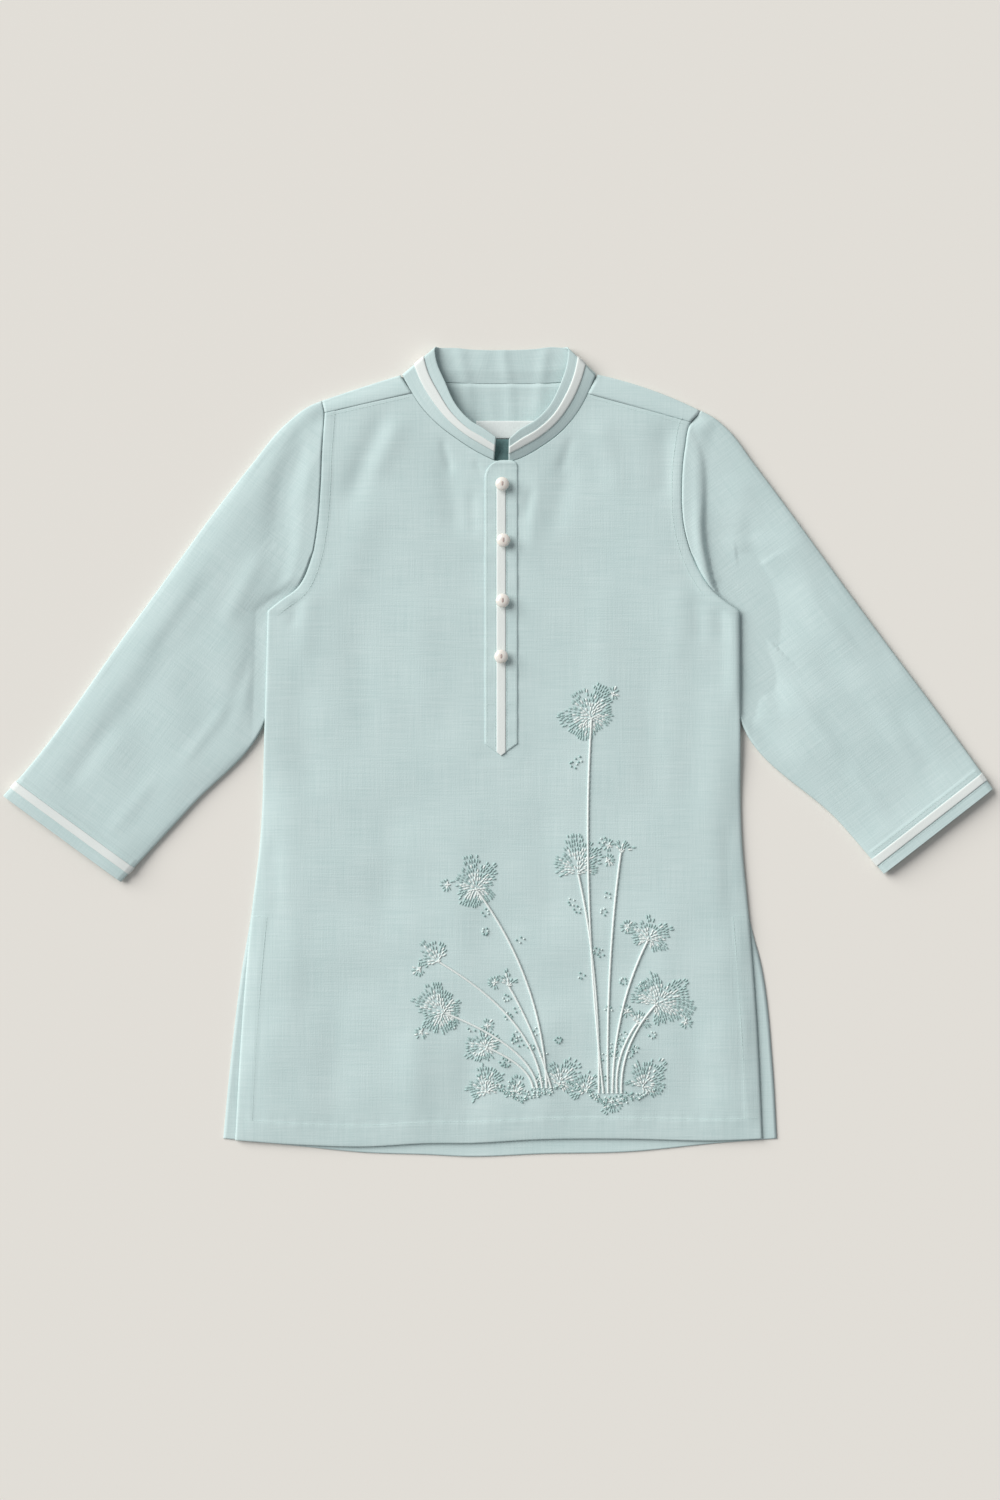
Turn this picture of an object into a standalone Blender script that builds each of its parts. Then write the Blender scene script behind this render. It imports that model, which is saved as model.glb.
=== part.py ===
"""A child's long kurta tunic, laid flat on its back with the front up.

Every length in this file is in millimetres, and MM turns it into Blender's metres when a mesh is made.
X runs to the picture's right, Y up to the collar, and Z up from the surface that the back rests on.
"Left" and "right" are the picture's sides. Each sewn piece is one open surface, its outer face,
with a Solidify modifier that gives the cloth its thickness inwards.
"""

from collections import namedtuple

import bpy
import numpy as np

MM = 0.001
LEFT = -1
RIGHT = 1

CLOTH_WALL = 1.0
COLLAR_WALL = 1.4
TAPE_WALL = 1.0
SEAM_GAP = 0.3
TAPE_LIFT = SEAM_GAP + TAPE_WALL
FOLD_RADIUS = 1.9

Row = namedtuple("Row", "y left right")
Hem = namedtuple("Hem", "x front back")
Point = namedtuple("Point", "x y")
Fold = namedtuple("Fold", "x0 y0 x1 y1 half_width height")
Shoulder = namedtuple("Shoulder", "fold_x fold_y seam_x seam_y rise")
Band = namedtuple("Band", "bottom_x bottom_y top_x top_y top_z")
Sleeve = namedtuple("Sleeve", "outer inner folds")
Swatch = namedtuple("Swatch", "colour roughness")

# The middle of the whole garment in plan, where the part's origin is.
CENTRE = Point(0.0, 0.1)

# The front's side edges, from the hem past the top of the slit (y -124) to the underarm.
FRONT_SIDES = [
    Row(-291.0, -197.0, 198.0),
    Row(-205.0, -192.0, 194.0),
    Row(-124.0, -185.0, 188.0),
    Row(-69.0, -178.5, 183.0),
    Row(20.0, -174.8, 181.5),
    Row(105.0, -172.5, 180.8),
]
# The back's side edges: below the top of the slit its corners spread wider than the front's.
BACK_SIDES = [
    Row(-290.5, -206.0, 209.0),
    Row(-238.0, -201.0, 206.0),
    Row(-164.0, -192.0, 198.0),
    Row(-124.0, -185.2, 188.2),
    Row(-69.0, -178.5, 183.0),
    Row(20.0, -174.8, 181.5),
    Row(105.0, -172.5, 180.8),
]
# The armhole seams, from the underarm up to the fold of the shoulder.
ARMHOLES = [
    Row(105.0, -172.5, 180.8),
    Row(112.0, -163.8, 170.5),
    Row(123.0, -149.5, 158.5),
    Row(143.0, -140.3, 146.8),
    Row(166.0, -135.8, 139.7),
    Row(199.5, -133.0, 137.7),
    Row(226.5, -131.8, 139.9),
    Row(246.0, -130.2, 144.4),
    Row(253.4, -129.9, 150.9),
    Row(262.5, -132.0, 157.0),
]
HEMS = [
    Hem(-206.0, -291.0, -290.5),
    Hem(-151.0, -295.0, -296.0),
    Hem(-100.0, -296.5, -301.0),
    Hem(-51.0, -294.0, -302.7),
    Hem(-25.0, -294.0, -304.0),
    Hem(34.0, -291.0, -302.0),
    Hem(98.0, -290.7, -300.5),
    Hem(164.0, -292.0, -294.0),
    Hem(209.0, -290.0, -290.5),
]
# Where each shoulder folds over at the armhole, and where the forward shoulder seam meets the armhole.
SHOULDERS = {
    LEFT: Shoulder(-132.0, 262.5, -129.8, 253.0, 0.3),
    RIGHT: Shoulder(151.5, 255.0, 144.4, 246.0, 2.6),
}
# The collar band from its end at the centre front to the fold at the side of the neck.
COLLAR_FRONTS = {
    LEFT: [
        Band(-3.0, 217.5, -1.5, 234.4, 12.0),
        Band(-15.0, 223.5, -10.5, 240.8, 12.0),
        Band(-28.5, 232.0, -20.0, 246.5, 11.5),
        Band(-45.0, 244.5, -31.5, 259.0, 10.5),
        Band(-57.0, 257.0, -39.9, 276.9, 9.5),
        Band(-65.0, 269.0, -45.5, 290.0, 8.6),
        Band(-72.0, 282.0, -48.0, 304.3, 7.7),
    ],
    RIGHT: [
        Band(8.0, 216.0, 8.3, 233.0, 12.0),
        Band(18.0, 219.5, 16.0, 240.0, 12.0),
        Band(33.0, 228.0, 28.0, 247.3, 11.5),
        Band(48.0, 239.5, 38.0, 257.5, 10.5),
        Band(60.0, 254.0, 46.0, 273.0, 9.5),
        Band(67.5, 268.0, 51.3, 288.5, 8.6),
        Band(73.5, 282.5, 53.3, 304.0, 7.7),
    ],
}
# The back of the collar lies on the surface with its inside up: seam below, top edge above.
COLLAR_BACK = [
    Band(-50.0, 277.3, -34.0, 302.0, 0.0),
    Band(-29.0, 276.0, -22.0, 300.9, 0.0),
    Band(4.0, 275.6, 4.0, 300.3, 0.0),
    Band(40.0, 276.0, 28.0, 301.2, 0.0),
    Band(57.0, 277.6, 42.0, 302.6, 0.0),
]
# Each sleeve's two folded edges, from the armhole to the cuff. Below ARMHOLE_HIDDEN_Y the sleeve's
# seam lies under the front. Its inner edge starts there, comes out near y 18, and then runs free.
SLEEVES = {
    LEFT: Sleeve(
        outer=[
            Point(-132.0, 262.5),
            Point(-139.5, 259.5),
            Point(-159.0, 245.0),
            Point(-186.0, 213.0),
            Point(-274.0, 94.5),
            Point(-362.0, -24.0),
            Point(-370.7, -33.5),
        ],
        inner=[
            Point(-140.6, 112.0),
            Point(-149.5, 92.0),
            Point(-157.5, 73.0),
            Point(-164.0, 55.0),
            Point(-169.0, 38.0),
            Point(-176.5, 17.5),
            Point(-229.0, -40.5),
            Point(-282.4, -98.0),
        ],
        folds=[
            Fold(-141.0, 240.0, -164.0, 192.0, 9.0, -1.4),
            Fold(-162.0, 196.0, -171.0, 128.0, 8.0, -1.2),
            Fold(-152.0, 236.0, -184.0, 176.0, 9.0, 0.9),
            Fold(-196.0, 168.0, -300.0, 20.0, 14.0, 0.8),
            Fold(-232.0, 92.0, -318.0, -18.0, 10.0, -0.7),
        ],
    ),
    RIGHT: Sleeve(
        outer=[
            Point(151.5, 255.0),
            Point(160.5, 250.3),
            Point(171.8, 241.0),
            Point(192.0, 215.0),
            Point(276.0, 101.0),
            Point(361.5, -15.0),
            Point(370.7, -28.3),
        ],
        inner=[
            Point(147.1, 112.0),
            Point(156.5, 92.0),
            Point(164.5, 73.0),
            Point(171.0, 55.0),
            Point(176.5, 38.0),
            Point(184.0, 17.0),
            Point(256.5, -54.0),
            Point(289.0, -92.0),
        ],
        folds=[
            Fold(157.0, 196.0, 153.0, 150.0, 7.0, -1.9),
            Fold(154.0, 152.0, 176.0, 108.0, 7.0, -1.9),
            Fold(172.0, 206.0, 174.0, 140.0, 9.0, 1.6),
            Fold(204.0, 160.0, 300.0, 26.0, 14.0, 0.9),
            Fold(226.0, 92.0, 300.0, -4.0, 10.0, -0.7),
        ],
    ),
}
# The front's largest folds: troughs have a height below zero, ridges above.
FRONT_FOLDS = [
    Fold(-82.0, 256.0, -114.0, 184.0, 9.0, -1.4),
    Fold(-74.0, 250.0, -96.0, 204.0, 9.0, 1.0),
    Fold(-92.0, 190.0, -122.0, 110.0, 14.0, 0.8),
    Fold(-40.0, 226.0, -30.0, 160.0, 9.0, -1.0),
    Fold(56.0, 226.0, 40.0, 160.0, 9.0, -0.9),
    Fold(74.0, 250.0, 92.0, 190.0, 10.0, 0.8),
    Fold(124.0, 246.0, 122.0, 182.0, 11.0, -0.9),
    Fold(-150.0, 60.0, -142.0, -40.0, 14.0, -0.8),
    Fold(150.0, 70.0, 144.0, -50.0, 14.0, -0.8),
    Fold(-62.0, -200.0, -63.0, -296.0, 13.0, 1.2),
    Fold(-22.0, -214.0, -22.0, -296.0, 11.0, -0.9),
    Fold(34.0, -190.0, 36.0, -294.0, 13.0, 0.9),
    Fold(98.0, -206.0, 100.0, -294.0, 14.0, 1.1),
    Fold(-120.0, -180.0, -124.0, -296.0, 13.0, -0.8),
    Fold(146.0, -200.0, 150.0, -294.0, 12.0, -0.8),
]

# Heights of the front's outer face above the surface, and how far in from an edge they are reached.
FRONT_EDGE_LOW = 2.6
FRONT_EDGE_OVER_SLEEVE = 5.3
FRONT_PLATEAU = 5.7
FRONT_SIDE_RISE = 28.0
FRONT_HEM_RISE = 70.0
SLEEVE_LEAVES_Y = 12.0
SIDE_LOW_Y = -45.0

SLEEVE_CROWN = 2.0
SLEEVE_CROWN_CUFF = 1.2
SLEEVE_EDGE_RISE = 22.0
SLEEVE_SEAM_RISE = 9.0
SLEEVE_MIN_TOP = 3.2
CUFF_ZONE = 40.0
CUFF_ZONE_SHARE = 0.12
CUFF_TAPE_NEAR = 8.0
CUFF_TAPE_FAR = 14.5
CUFF_LIFT_RUN = 24.0
ARMHOLE_HIDDEN_Y = 143.0
TUCK_CLEARANCE = 1.2
TUCK_WINDOW = 9.0
TUCK_MARGIN = 9.0
TUCK_MARGIN_TOP = 143.0
TUCK_MARGIN_RUN = 20.0

COLLAR_FOLD_BOTTOM = 2.2
COLLAR_FOLD_TOP = 3.2
COLLAR_BULGE = 0.8
COLLAR_TAPE_START = 0.36
COLLAR_TAPE_END = 0.66
COLLAR_SHOULDER_CLEARANCE = 1.0

PLACKET_LEFT = -10.0
PLACKET_RIGHT = 14.8
PLACKET_TOP = 213.0
PLACKET_CORNER_RADIUS = 14.0
PLACKET_SHOULDER_Y = 5.6
PLACKET_TIP_Y = -3.5
PLACKET_TAPE_HALF = 3.4
PLACKET_TAPE_TOP = 207.0
BLUNT = 0.4
PLACKET_QUIET_HALF = 18.0

BUTTONS = [
    Point(3.2, 199.6),
    Point(4.0, 157.5),
    Point(3.5, 112.4),
    Point(2.4, 70.6),
]
BUTTON_RADIUS = 5.2
BUTTON_HEIGHT = 6.0
BUTTON_FOOT_RADIUS = 2.2
BUTTON_FOOT_HEIGHT = 1.0

LABEL_LEFT = -16.5
LABEL_RIGHT = 32.0
LABEL_TOP = 247.5
LABEL_BOTTOM = 234.0
LABEL_ROUND = 0.3

# How many spans each surface has. The front, back, collar and sleeves share the ones at their seams.
SHOULDER_SPANS = 5
NECK_SPANS = 12
NECK_SPANS_ON_FRONT = 10
BACK_NECK_SPANS = 8
ARM_SPANS = 11
FRONT_LOW_SPANS = 19
BACK_LOW_SPANS = 10
SLEEVE_SPANS = 14
SLEEVE_CROWDING = 1.5
ROLL_SPANS = 4

SWATCHES = {
    "linen": Swatch((0.53, 0.66, 0.64), 0.92),
    "tape": Swatch((0.76, 0.79, 0.78), 0.85),
    "pearl": Swatch((0.86, 0.84, 0.80), 0.22),
    "label": Swatch((0.74, 0.80, 0.79), 0.8),
}


def smooth_path(points, per_span=16):
    """Points on a smooth curve through the given ones: each span is a cubic set by its neighbours."""
    knots = np.asarray(points, float)
    chord = np.linalg.norm(np.diff(knots, axis=0), axis=1)
    reach = np.concatenate([[0.0], np.cumsum(chord)])
    slope = np.gradient(knots, reach, axis=0)
    t = np.linspace(0.0, 1.0, per_span, endpoint=False)[:, None]
    spans = []
    for start, end, slope_in, slope_out, length in zip(knots, knots[1:], slope, slope[1:], chord):
        spans.append(
            (1 + 2 * t) * (1 - t) ** 2 * start
            + t * (1 - t) ** 2 * length * slope_in
            + t * t * (3 - 2 * t) * end
            + t * t * (t - 1) * length * slope_out
        )
    return np.concatenate(spans + [knots[-1:]])


def at_fractions(path, fractions):
    """The points that lie at these fractions of the path's length."""
    steps = np.linalg.norm(np.diff(path, axis=0), axis=1)
    reach = np.concatenate([[0.0], np.cumsum(steps)])
    wanted = np.asarray(fractions) * reach[-1]
    return np.stack([np.interp(wanted, reach, column) for column in path.T], axis=-1)


def smoothstep(value):
    t = np.clip(value, 0.0, 1.0)
    return t * t * (3 - 2 * t)


def ease_up(value):
    """Rises steeply from 0 and levels out at 1."""
    return 1 - (1 - np.clip(value, 0.0, 1.0)) ** 2


def edge_path(*tables):
    """The rows (y, left, right) of one or more edge tables, each smoothed by itself, so that corners stay."""
    return np.concatenate([smooth_path(table) for table in tables])


FRONT_EDGES = edge_path(FRONT_SIDES, ARMHOLES)
BACK_EDGES = edge_path(BACK_SIDES, ARMHOLES)
HEM_PATH = smooth_path(HEMS)


def edge_x(edges, side, y):
    return np.interp(y, edges[:, 0], edges[:, 1 if side == LEFT else 2])


def hem_y(x, panel):
    return np.interp(x, HEM_PATH[:, 0], HEM_PATH[:, Hem._fields.index(panel)])


def fold_relief(folds, x, y):
    """The sum of the folds: each is a soft ridge or trough that fades at both ends of its line."""
    relief = np.zeros(np.broadcast(x, y).shape)
    for fold in folds:
        along = np.array([fold.x1 - fold.x0, fold.y1 - fold.y0])
        length = np.hypot(*along)
        t = ((x - fold.x0) * along[0] + (y - fold.y0) * along[1]) / length**2
        off = ((x - fold.x0) * along[1] - (y - fold.y0) * along[0]) / length
        past_middle = np.maximum(0.0, np.abs(2 * t - 1) - 0.5)
        relief += fold.height * np.exp(-((off / fold.half_width) ** 2) - (past_middle / 0.4) ** 2)
    return relief


def front_height(x, y):
    """Height of the front's outer face: low at the hem and slits, higher over the sleeves, level inside."""
    over_sleeve = smoothstep((y - SIDE_LOW_Y) / (SLEEVE_LEAVES_Y - SIDE_LOW_Y))
    edge = FRONT_EDGE_LOW + (FRONT_EDGE_OVER_SLEEVE - FRONT_EDGE_LOW) * over_sleeve
    inside = np.minimum(x - edge_x(FRONT_EDGES, LEFT, y), edge_x(FRONT_EDGES, RIGHT, y) - x)
    from_hem = ease_up((y - hem_y(x, "front")) / FRONT_HEM_RISE)
    rise = ease_up(inside / FRONT_SIDE_RISE)
    height = edge + (FRONT_PLATEAU - edge) * rise
    height = FRONT_EDGE_LOW + (height - FRONT_EDGE_LOW) * from_hem
    centre = (PLACKET_LEFT + PLACKET_RIGHT) / 2
    beside_placket = np.where(
        y > PLACKET_TIP_Y - PLACKET_QUIET_HALF,
        1 - np.exp(-(((x - centre) / PLACKET_QUIET_HALF) ** 4)),
        1.0,
    )
    folds = fold_relief(FRONT_FOLDS, x, y) * rise * beside_placket * (0.25 + 0.75 * from_hem)
    return np.maximum(height + folds, FRONT_EDGE_LOW)


def collar_front_line(side):
    """Bottom and top edge of the band's front, at the stations from the centre front towards the fold."""
    rows = COLLAR_FRONTS[side]
    fractions = np.arange(NECK_SPANS) / NECK_SPANS
    bottom = smooth_path([(row.bottom_x, row.bottom_y) for row in rows])
    top = smooth_path([(row.top_x, row.top_y, row.top_z) for row in rows])
    bottom = at_fractions(bottom, fractions)
    height = front_height(bottom[:, 0], bottom[:, 1])
    return np.column_stack([bottom, height]), at_fractions(top, fractions)


def collar_fold_line(side):
    """Bottom and top edge where the band turns from its front, above, to its back, below: half circles."""
    fold = COLLAR_FRONTS[side][-1]
    bottom = np.array([fold.bottom_x, fold.bottom_y])
    top = np.array([fold.top_x, fold.top_y])
    along = (top - bottom) / np.linalg.norm(top - bottom)
    outward = side * np.array([along[1], -along[0]])
    angle = np.linspace(np.pi / 2, -np.pi / 2, ROLL_SPANS + 1)[:, None]
    lines = []
    for corner, radius, lift in ((bottom, COLLAR_FOLD_BOTTOM, 0.0), (top, COLLAR_FOLD_TOP, TAPE_LIFT)):
        plan = corner + radius * (np.cos(angle) - 1) * outward
        lines.append(np.column_stack([plan, lift + radius * (1 + np.sin(angle))]))
    return lines[0], lines[1], ((1 - np.sin(angle)) / 2)[:, 0]


def collar_lines():
    """Bottom edge, top edge and share of back at each station, from the left front end to the right one."""
    pieces = {}
    for side in (LEFT, RIGHT):
        front_bottom, front_top = collar_front_line(side)
        fold_bottom, fold_top, share = collar_fold_line(side)
        bottom = np.concatenate([front_bottom, fold_bottom])
        top = np.concatenate([front_top, fold_top])
        pieces[side] = (bottom, top, np.concatenate([np.zeros(NECK_SPANS), share]))
    inner = np.arange(1, BACK_NECK_SPANS) / BACK_NECK_SPANS
    backs = []
    for index, name in enumerate(("bottom", "top")):
        rows = [(getattr(row, name + "_x"), getattr(row, name + "_y")) for row in COLLAR_BACK]
        ends = [pieces[side][index][-1, :2] for side in (LEFT, RIGHT)]
        path = smooth_path([ends[0], *rows, ends[1]])
        lift = pieces[LEFT][index][-1, 2]
        points = at_fractions(path, inner)
        backs.append(np.column_stack([points, np.full(len(points), lift)]))
    bottom = np.concatenate([pieces[LEFT][0], backs[0], pieces[RIGHT][0][::-1]])
    top = np.concatenate([pieces[LEFT][1], backs[1], pieces[RIGHT][1][::-1]])
    share = np.concatenate([pieces[LEFT][2], np.ones(len(inner)), pieces[RIGHT][2][::-1]])
    return bottom, top, share


def collar_surface(heights):
    """The band's outer face at these fractions of its height, one row of points for each."""
    bottom, top, share = collar_lines()
    plan = top[:, :2] - bottom[:, :2]
    start = bottom.copy()
    start[:, :2] += SEAM_GAP * plan / np.linalg.norm(plan, axis=1)[:, None]
    v = np.asarray(heights)[:, None, None]
    surface = start + (top - start) * v
    v = v[..., 0]
    under = TAPE_LIFT * (np.minimum(v / COLLAR_TAPE_START, 1.0) - v)
    surface[..., 2] += share * under + (1 - share) * COLLAR_BULGE * 4 * v * (1 - v)
    return surface


def surface_normals(grid):
    """Unit normals of a grid of points, facing out for faces made in the grid's own order."""
    across = np.gradient(grid, axis=0)
    along = np.gradient(grid, axis=1)
    normal = np.cross(across, along)
    return normal / np.linalg.norm(normal, axis=-1, keepdims=True)


def shoulder_line(side, spans):
    """The shoulder's fold in plan, from the armhole to the neck, with the way out from the body."""
    shoulder = SHOULDERS[side]
    fold = COLLAR_FRONTS[side][-1]
    start = np.array([shoulder.fold_x, shoulder.fold_y])
    end = np.array([fold.bottom_x, fold.bottom_y])
    along = (end - start) / np.linalg.norm(end - start)
    end = end - COLLAR_SHOULDER_CLEARANCE * along
    t = np.linspace(0.0, 1.0, spans + 1)[:, None]
    outward = np.array([side * along[1], -side * along[0]])
    line = start + (end - start) * t + shoulder.rise * 4 * t * (1 - t) * outward
    return line, outward


def forward_seam(side, spans):
    """The forward shoulder seam in plan, from the armhole to the neck."""
    shoulder = SHOULDERS[side]
    neck = collar_front_line(side)[0][NECK_SPANS_ON_FRONT, :2]
    start = np.array([shoulder.seam_x, shoulder.seam_y])
    t = np.linspace(0.0, 1.0, spans + 1)[:, None]
    return start + (neck - start) * t


def level_fractions(low_spans, under, seam=None):
    """Row fractions of a panel's columns: even below the underarm, and even again above it."""
    under = np.asarray(under)[:, None]
    low = under * np.linspace(0.0, 1.0, low_spans + 1)[:-1]
    top = 1.0 if seam is None else np.asarray(seam)[:, None]
    high = under + (top - under) * np.linspace(0.0, 1.0, ARM_SPANS + 1)
    parts = [low, high]
    if seam is not None:
        parts.append(np.ones_like(under))
    return np.concatenate(parts, axis=1)


def panel_plan(edges, panel, top, fractions):
    """x and y of a panel's grid: every column runs from the hem to its point of the top line."""
    columns = len(top)
    even = np.linspace(0.0, 1.0, columns)
    share_hem = 0.7 * even + 0.3 * (1 - np.cos(np.pi * even)) / 2
    corners = [edge_x(edges, side, edges[0, 0]) for side in (LEFT, RIGHT)]
    x_hem = corners[0] + (corners[1] - corners[0]) * share_hem
    y_hem = hem_y(x_hem, panel)
    y = y_hem[:, None] + (top[:, 1] - y_hem)[:, None] * fractions
    top_left = edge_x(edges, LEFT, top[:, 1])
    top_right = edge_x(edges, RIGHT, top[:, 1])
    share_top = (top[:, 0] - top_left) / (top_right - top_left)
    share_top[[0, -1]] = (0.0, 1.0)
    mix = smoothstep(fractions / 0.75)
    share = share_hem[:, None] + (share_top - share_hem)[:, None] * mix
    left = edge_x(edges, LEFT, y)
    right = edge_x(edges, RIGHT, y)
    return left + (right - left) * share, y


def front_top_line():
    """The front's top line from the left armhole, round the neck, to the right armhole."""
    halves = {}
    for side in (LEFT, RIGHT):
        seam = forward_seam(side, SHOULDER_SPANS)
        seam[:, 1] -= SEAM_GAP
        neck = collar_front_line(side)[0][NECK_SPANS_ON_FRONT - 1 :: -1, :2]
        halves[side] = np.concatenate([seam, neck])
    middle = (halves[LEFT][-1] + halves[RIGHT][-1]) / 2
    return np.concatenate([halves[LEFT], [middle], halves[RIGHT][::-1]])


def side_levels(side):
    """Heights in y of the rows that the front, back and sleeve share, from the underarm up."""
    under = ARMHOLES[0].y
    seam = SHOULDERS[side].seam_y - SEAM_GAP
    return under + (seam - under) * np.linspace(0.0, 1.0, ARM_SPANS + 1)


def make_front():
    top = front_top_line()
    even = np.linspace(0.0, 1.0, len(top))
    ends = []
    for side, end in ((LEFT, top[0]), (RIGHT, top[-1])):
        low = hem_y(edge_x(FRONT_EDGES, side, FRONT_EDGES[0, 0]), "front")
        ends.append((ARMHOLES[0].y - low) / (end[1] - low))
    under = ends[0] + (ends[1] - ends[0]) * even
    x, y = panel_plan(FRONT_EDGES, "front", top, level_fractions(FRONT_LOW_SPANS, under))
    grid = np.stack([x, y, front_height(x, y)], axis=-1)
    return add_shell("front_panel", grid, CLOTH_WALL, "linen")


def sleeve_plan(side, s, w):
    """Plan of a sleeve: s runs from the armhole to the cuff, w from the outer edge to the inner.

    Straight lines join the two edges, and near the armhole they bend to its curve. The last
    stretch before the cuff is measured in millimetres on both edges, so that the tape is even.
    """
    sleeve = SLEEVES[side]
    ends = []
    for points in (sleeve.outer, sleeve.inner):
        path = smooth_path(points)
        length = np.linalg.norm(np.diff(path, axis=0), axis=1).sum()
        zone = CUFF_ZONE / length
        start = 1 - CUFF_ZONE_SHARE
        fraction = np.interp(s, [0.0, start, 1.0], [0.0, 1 - zone, 1.0])
        ends.append(at_fractions(path, fraction))
    outer, inner = ends
    w = w[..., None]
    plan = outer * (1 - w) + inner * w
    top_y = sleeve.outer[0].y
    y = top_y + (sleeve.inner[0].y - top_y) * w[..., 0]
    seam_x = edge_x(FRONT_EDGES, side, np.maximum(y, ARMHOLE_HIDDEN_Y)) + side * SEAM_GAP
    seam = np.stack([seam_x, y], axis=-1)
    chord = np.array(sleeve.outer[0]) * (1 - w) + np.array(sleeve.inner[0]) * w
    return plan + (seam - chord) * (1 - s[..., None]) ** 6


def sleeve_ring(side, s, out=0.0):
    """The closed rings of a sleeve at stations s, moved out by a distance: a flat tube with round edges."""
    sleeve = SLEEVES[side]
    levels = side_levels(side)[1:][::-1]
    flat = (sleeve.outer[0].y - levels) / (sleeve.outer[0].y - sleeve.inner[0].y)
    angle = np.linspace(np.pi / 2, -np.pi / 2, ROLL_SPANS + 1)
    radius = FOLD_RADIUS + out
    stations = s[:, None]
    ends = sleeve_plan(side, np.repeat(stations, 2, axis=1), np.array([[0.0, 1.0]]) + 0 * stations)
    width = np.linalg.norm(ends[:, 1] - ends[:, 0], axis=-1)[:, None]
    roll = (FOLD_RADIUS - radius * np.cos(angle)) / width
    across = [
        flat + 0 * stations,
        1 - roll,
        flat[::-1] + 0 * stations,
        roll[:, ::-1],
    ]
    w = np.concatenate(across, axis=1)
    is_top = np.concatenate([np.ones(ARM_SPANS), np.zeros(ROLL_SPANS + 1 + ARM_SPANS + ROLL_SPANS + 1)])
    roll_z = radius * (1 + np.sin(angle))
    flat_z = np.zeros(ARM_SPANS)
    z = np.concatenate([flat_z + 2 * radius, roll_z, flat_z, roll_z[::-1]])
    plan = sleeve_plan(side, stations + 0 * w, w)
    x = plan[..., 0]
    y = plan[..., 1]
    crown = SLEEVE_CROWN + (SLEEVE_CROWN_CUFF - SLEEVE_CROWN) * smoothstep(stations)
    body = crown * ease_up(np.minimum(w, 1 - w) * width / SLEEVE_EDGE_RISE)
    body += fold_relief(sleeve.folds, x, y)
    tucked = TUCK_MARGIN * smoothstep((TUCK_MARGIN_TOP - y) / TUCK_MARGIN_RUN)
    beyond_seam = np.maximum(side * (x - edge_x(FRONT_EDGES, side, y)) - tucked, 0.0)
    body *= 1 - np.exp(-beyond_seam / SLEEVE_SEAM_RISE)
    body = np.maximum(body, SLEEVE_MIN_TOP - 2 * FOLD_RADIUS)
    from_cuff = CUFF_ZONE * (1 - stations) / CUFF_ZONE_SHARE
    lift = TAPE_LIFT * smoothstep((CUFF_LIFT_RUN + CUFF_TAPE_FAR - from_cuff) / CUFF_LIFT_RUN)
    return np.stack([x, y, z + is_top * body + lift - out], axis=-1)


def ring_grid(side, s, out=0.0):
    """Rings as a grid whose faces look outwards on either side of the garment."""
    rings = sleeve_ring(side, s, out)
    return rings if side == LEFT else rings[:, ::-1]


def cuff_station(distance):
    return 1 - CUFF_ZONE_SHARE * distance / CUFF_ZONE


def make_sleeve(side, name):
    body = np.linspace(0.0, 1.0, SLEEVE_SPANS + 1)[:-1] ** SLEEVE_CROWDING * cuff_station(CUFF_ZONE)
    cuff = cuff_station(np.array([CUFF_ZONE, CUFF_TAPE_FAR + 9.0, CUFF_TAPE_FAR, CUFF_TAPE_NEAR, 0.0]))
    grid = ring_grid(side, np.concatenate([body, cuff]))
    return add_shell(name, grid, CLOTH_WALL, "linen", around=True)


def make_cuff_tape(side, name):
    s = cuff_station(np.array([CUFF_TAPE_FAR, CUFF_TAPE_NEAR]))
    grid = ring_grid(side, s, out=TAPE_LIFT)
    return add_shell(name, grid, TAPE_WALL, "tape", around=True)


def tucked_reach(side, levels):
    """How far in the tucked sleeve comes at each level, as an x that the back stays clear of."""
    s, w = np.meshgrid(np.linspace(0.0, 0.6, 90), np.linspace(0.3, 1.0, 60), indexing="ij")
    plan = sleeve_plan(side, s, w).reshape(-1, 2)
    plan = plan[plan[:, 1] < ARMHOLE_HIDDEN_Y]
    near = np.abs(plan[:, 1][None, :] - levels[:, None]) < TUCK_WINDOW
    reach = np.where(near, side * plan[:, 0][None, :], np.inf)
    return side * (reach.min(axis=1) - TUCK_CLEARANCE)


def make_back():
    bottom = collar_lines()[0]
    first = NECK_SPANS + ROLL_SPANS
    neck = bottom[first : first + BACK_NECK_SPANS + 1, :2] - [0.0, SEAM_GAP]
    lines = {}
    for side in (LEFT, RIGHT):
        lines[side] = shoulder_line(side, SHOULDER_SPANS)
    inset = {side: line - FOLD_RADIUS * outward for side, (line, outward) in lines.items()}
    top = np.concatenate([inset[LEFT], neck, inset[RIGHT][::-1]])
    even = np.linspace(0.0, 1.0, len(top))
    ends = []
    for side, end in ((LEFT, top[0]), (RIGHT, top[-1])):
        low = hem_y(edge_x(BACK_EDGES, side, BACK_EDGES[0, 0]), "back")
        seam = SHOULDERS[side].seam_y - SEAM_GAP
        ends.append([(ARMHOLES[0].y - low) / (end[1] - low), (seam - low) / (end[1] - low)])
    under, seam = (ends[0][k] + (ends[1][k] - ends[0][k]) * even for k in (0, 1))
    fractions = level_fractions(BACK_LOW_SPANS, under, seam)
    x, y = panel_plan(BACK_EDGES, "back", top, fractions)
    x = clear_of_sleeves(x, y)
    grid = np.stack([x, y, np.zeros_like(x)], axis=-1)
    shoulders = [shoulder_turn(side, *lines[side]) for side in (LEFT, RIGHT)]
    missing = np.full((len(neck), *shoulders[0].shape[1:]), np.nan)
    turn = np.concatenate([shoulders[0], missing, shoulders[1][::-1]])
    grid = np.concatenate([grid, turn], axis=1)
    return add_shell("back_panel", grid.transpose(1, 0, 2), CLOTH_WALL, "linen")


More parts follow.
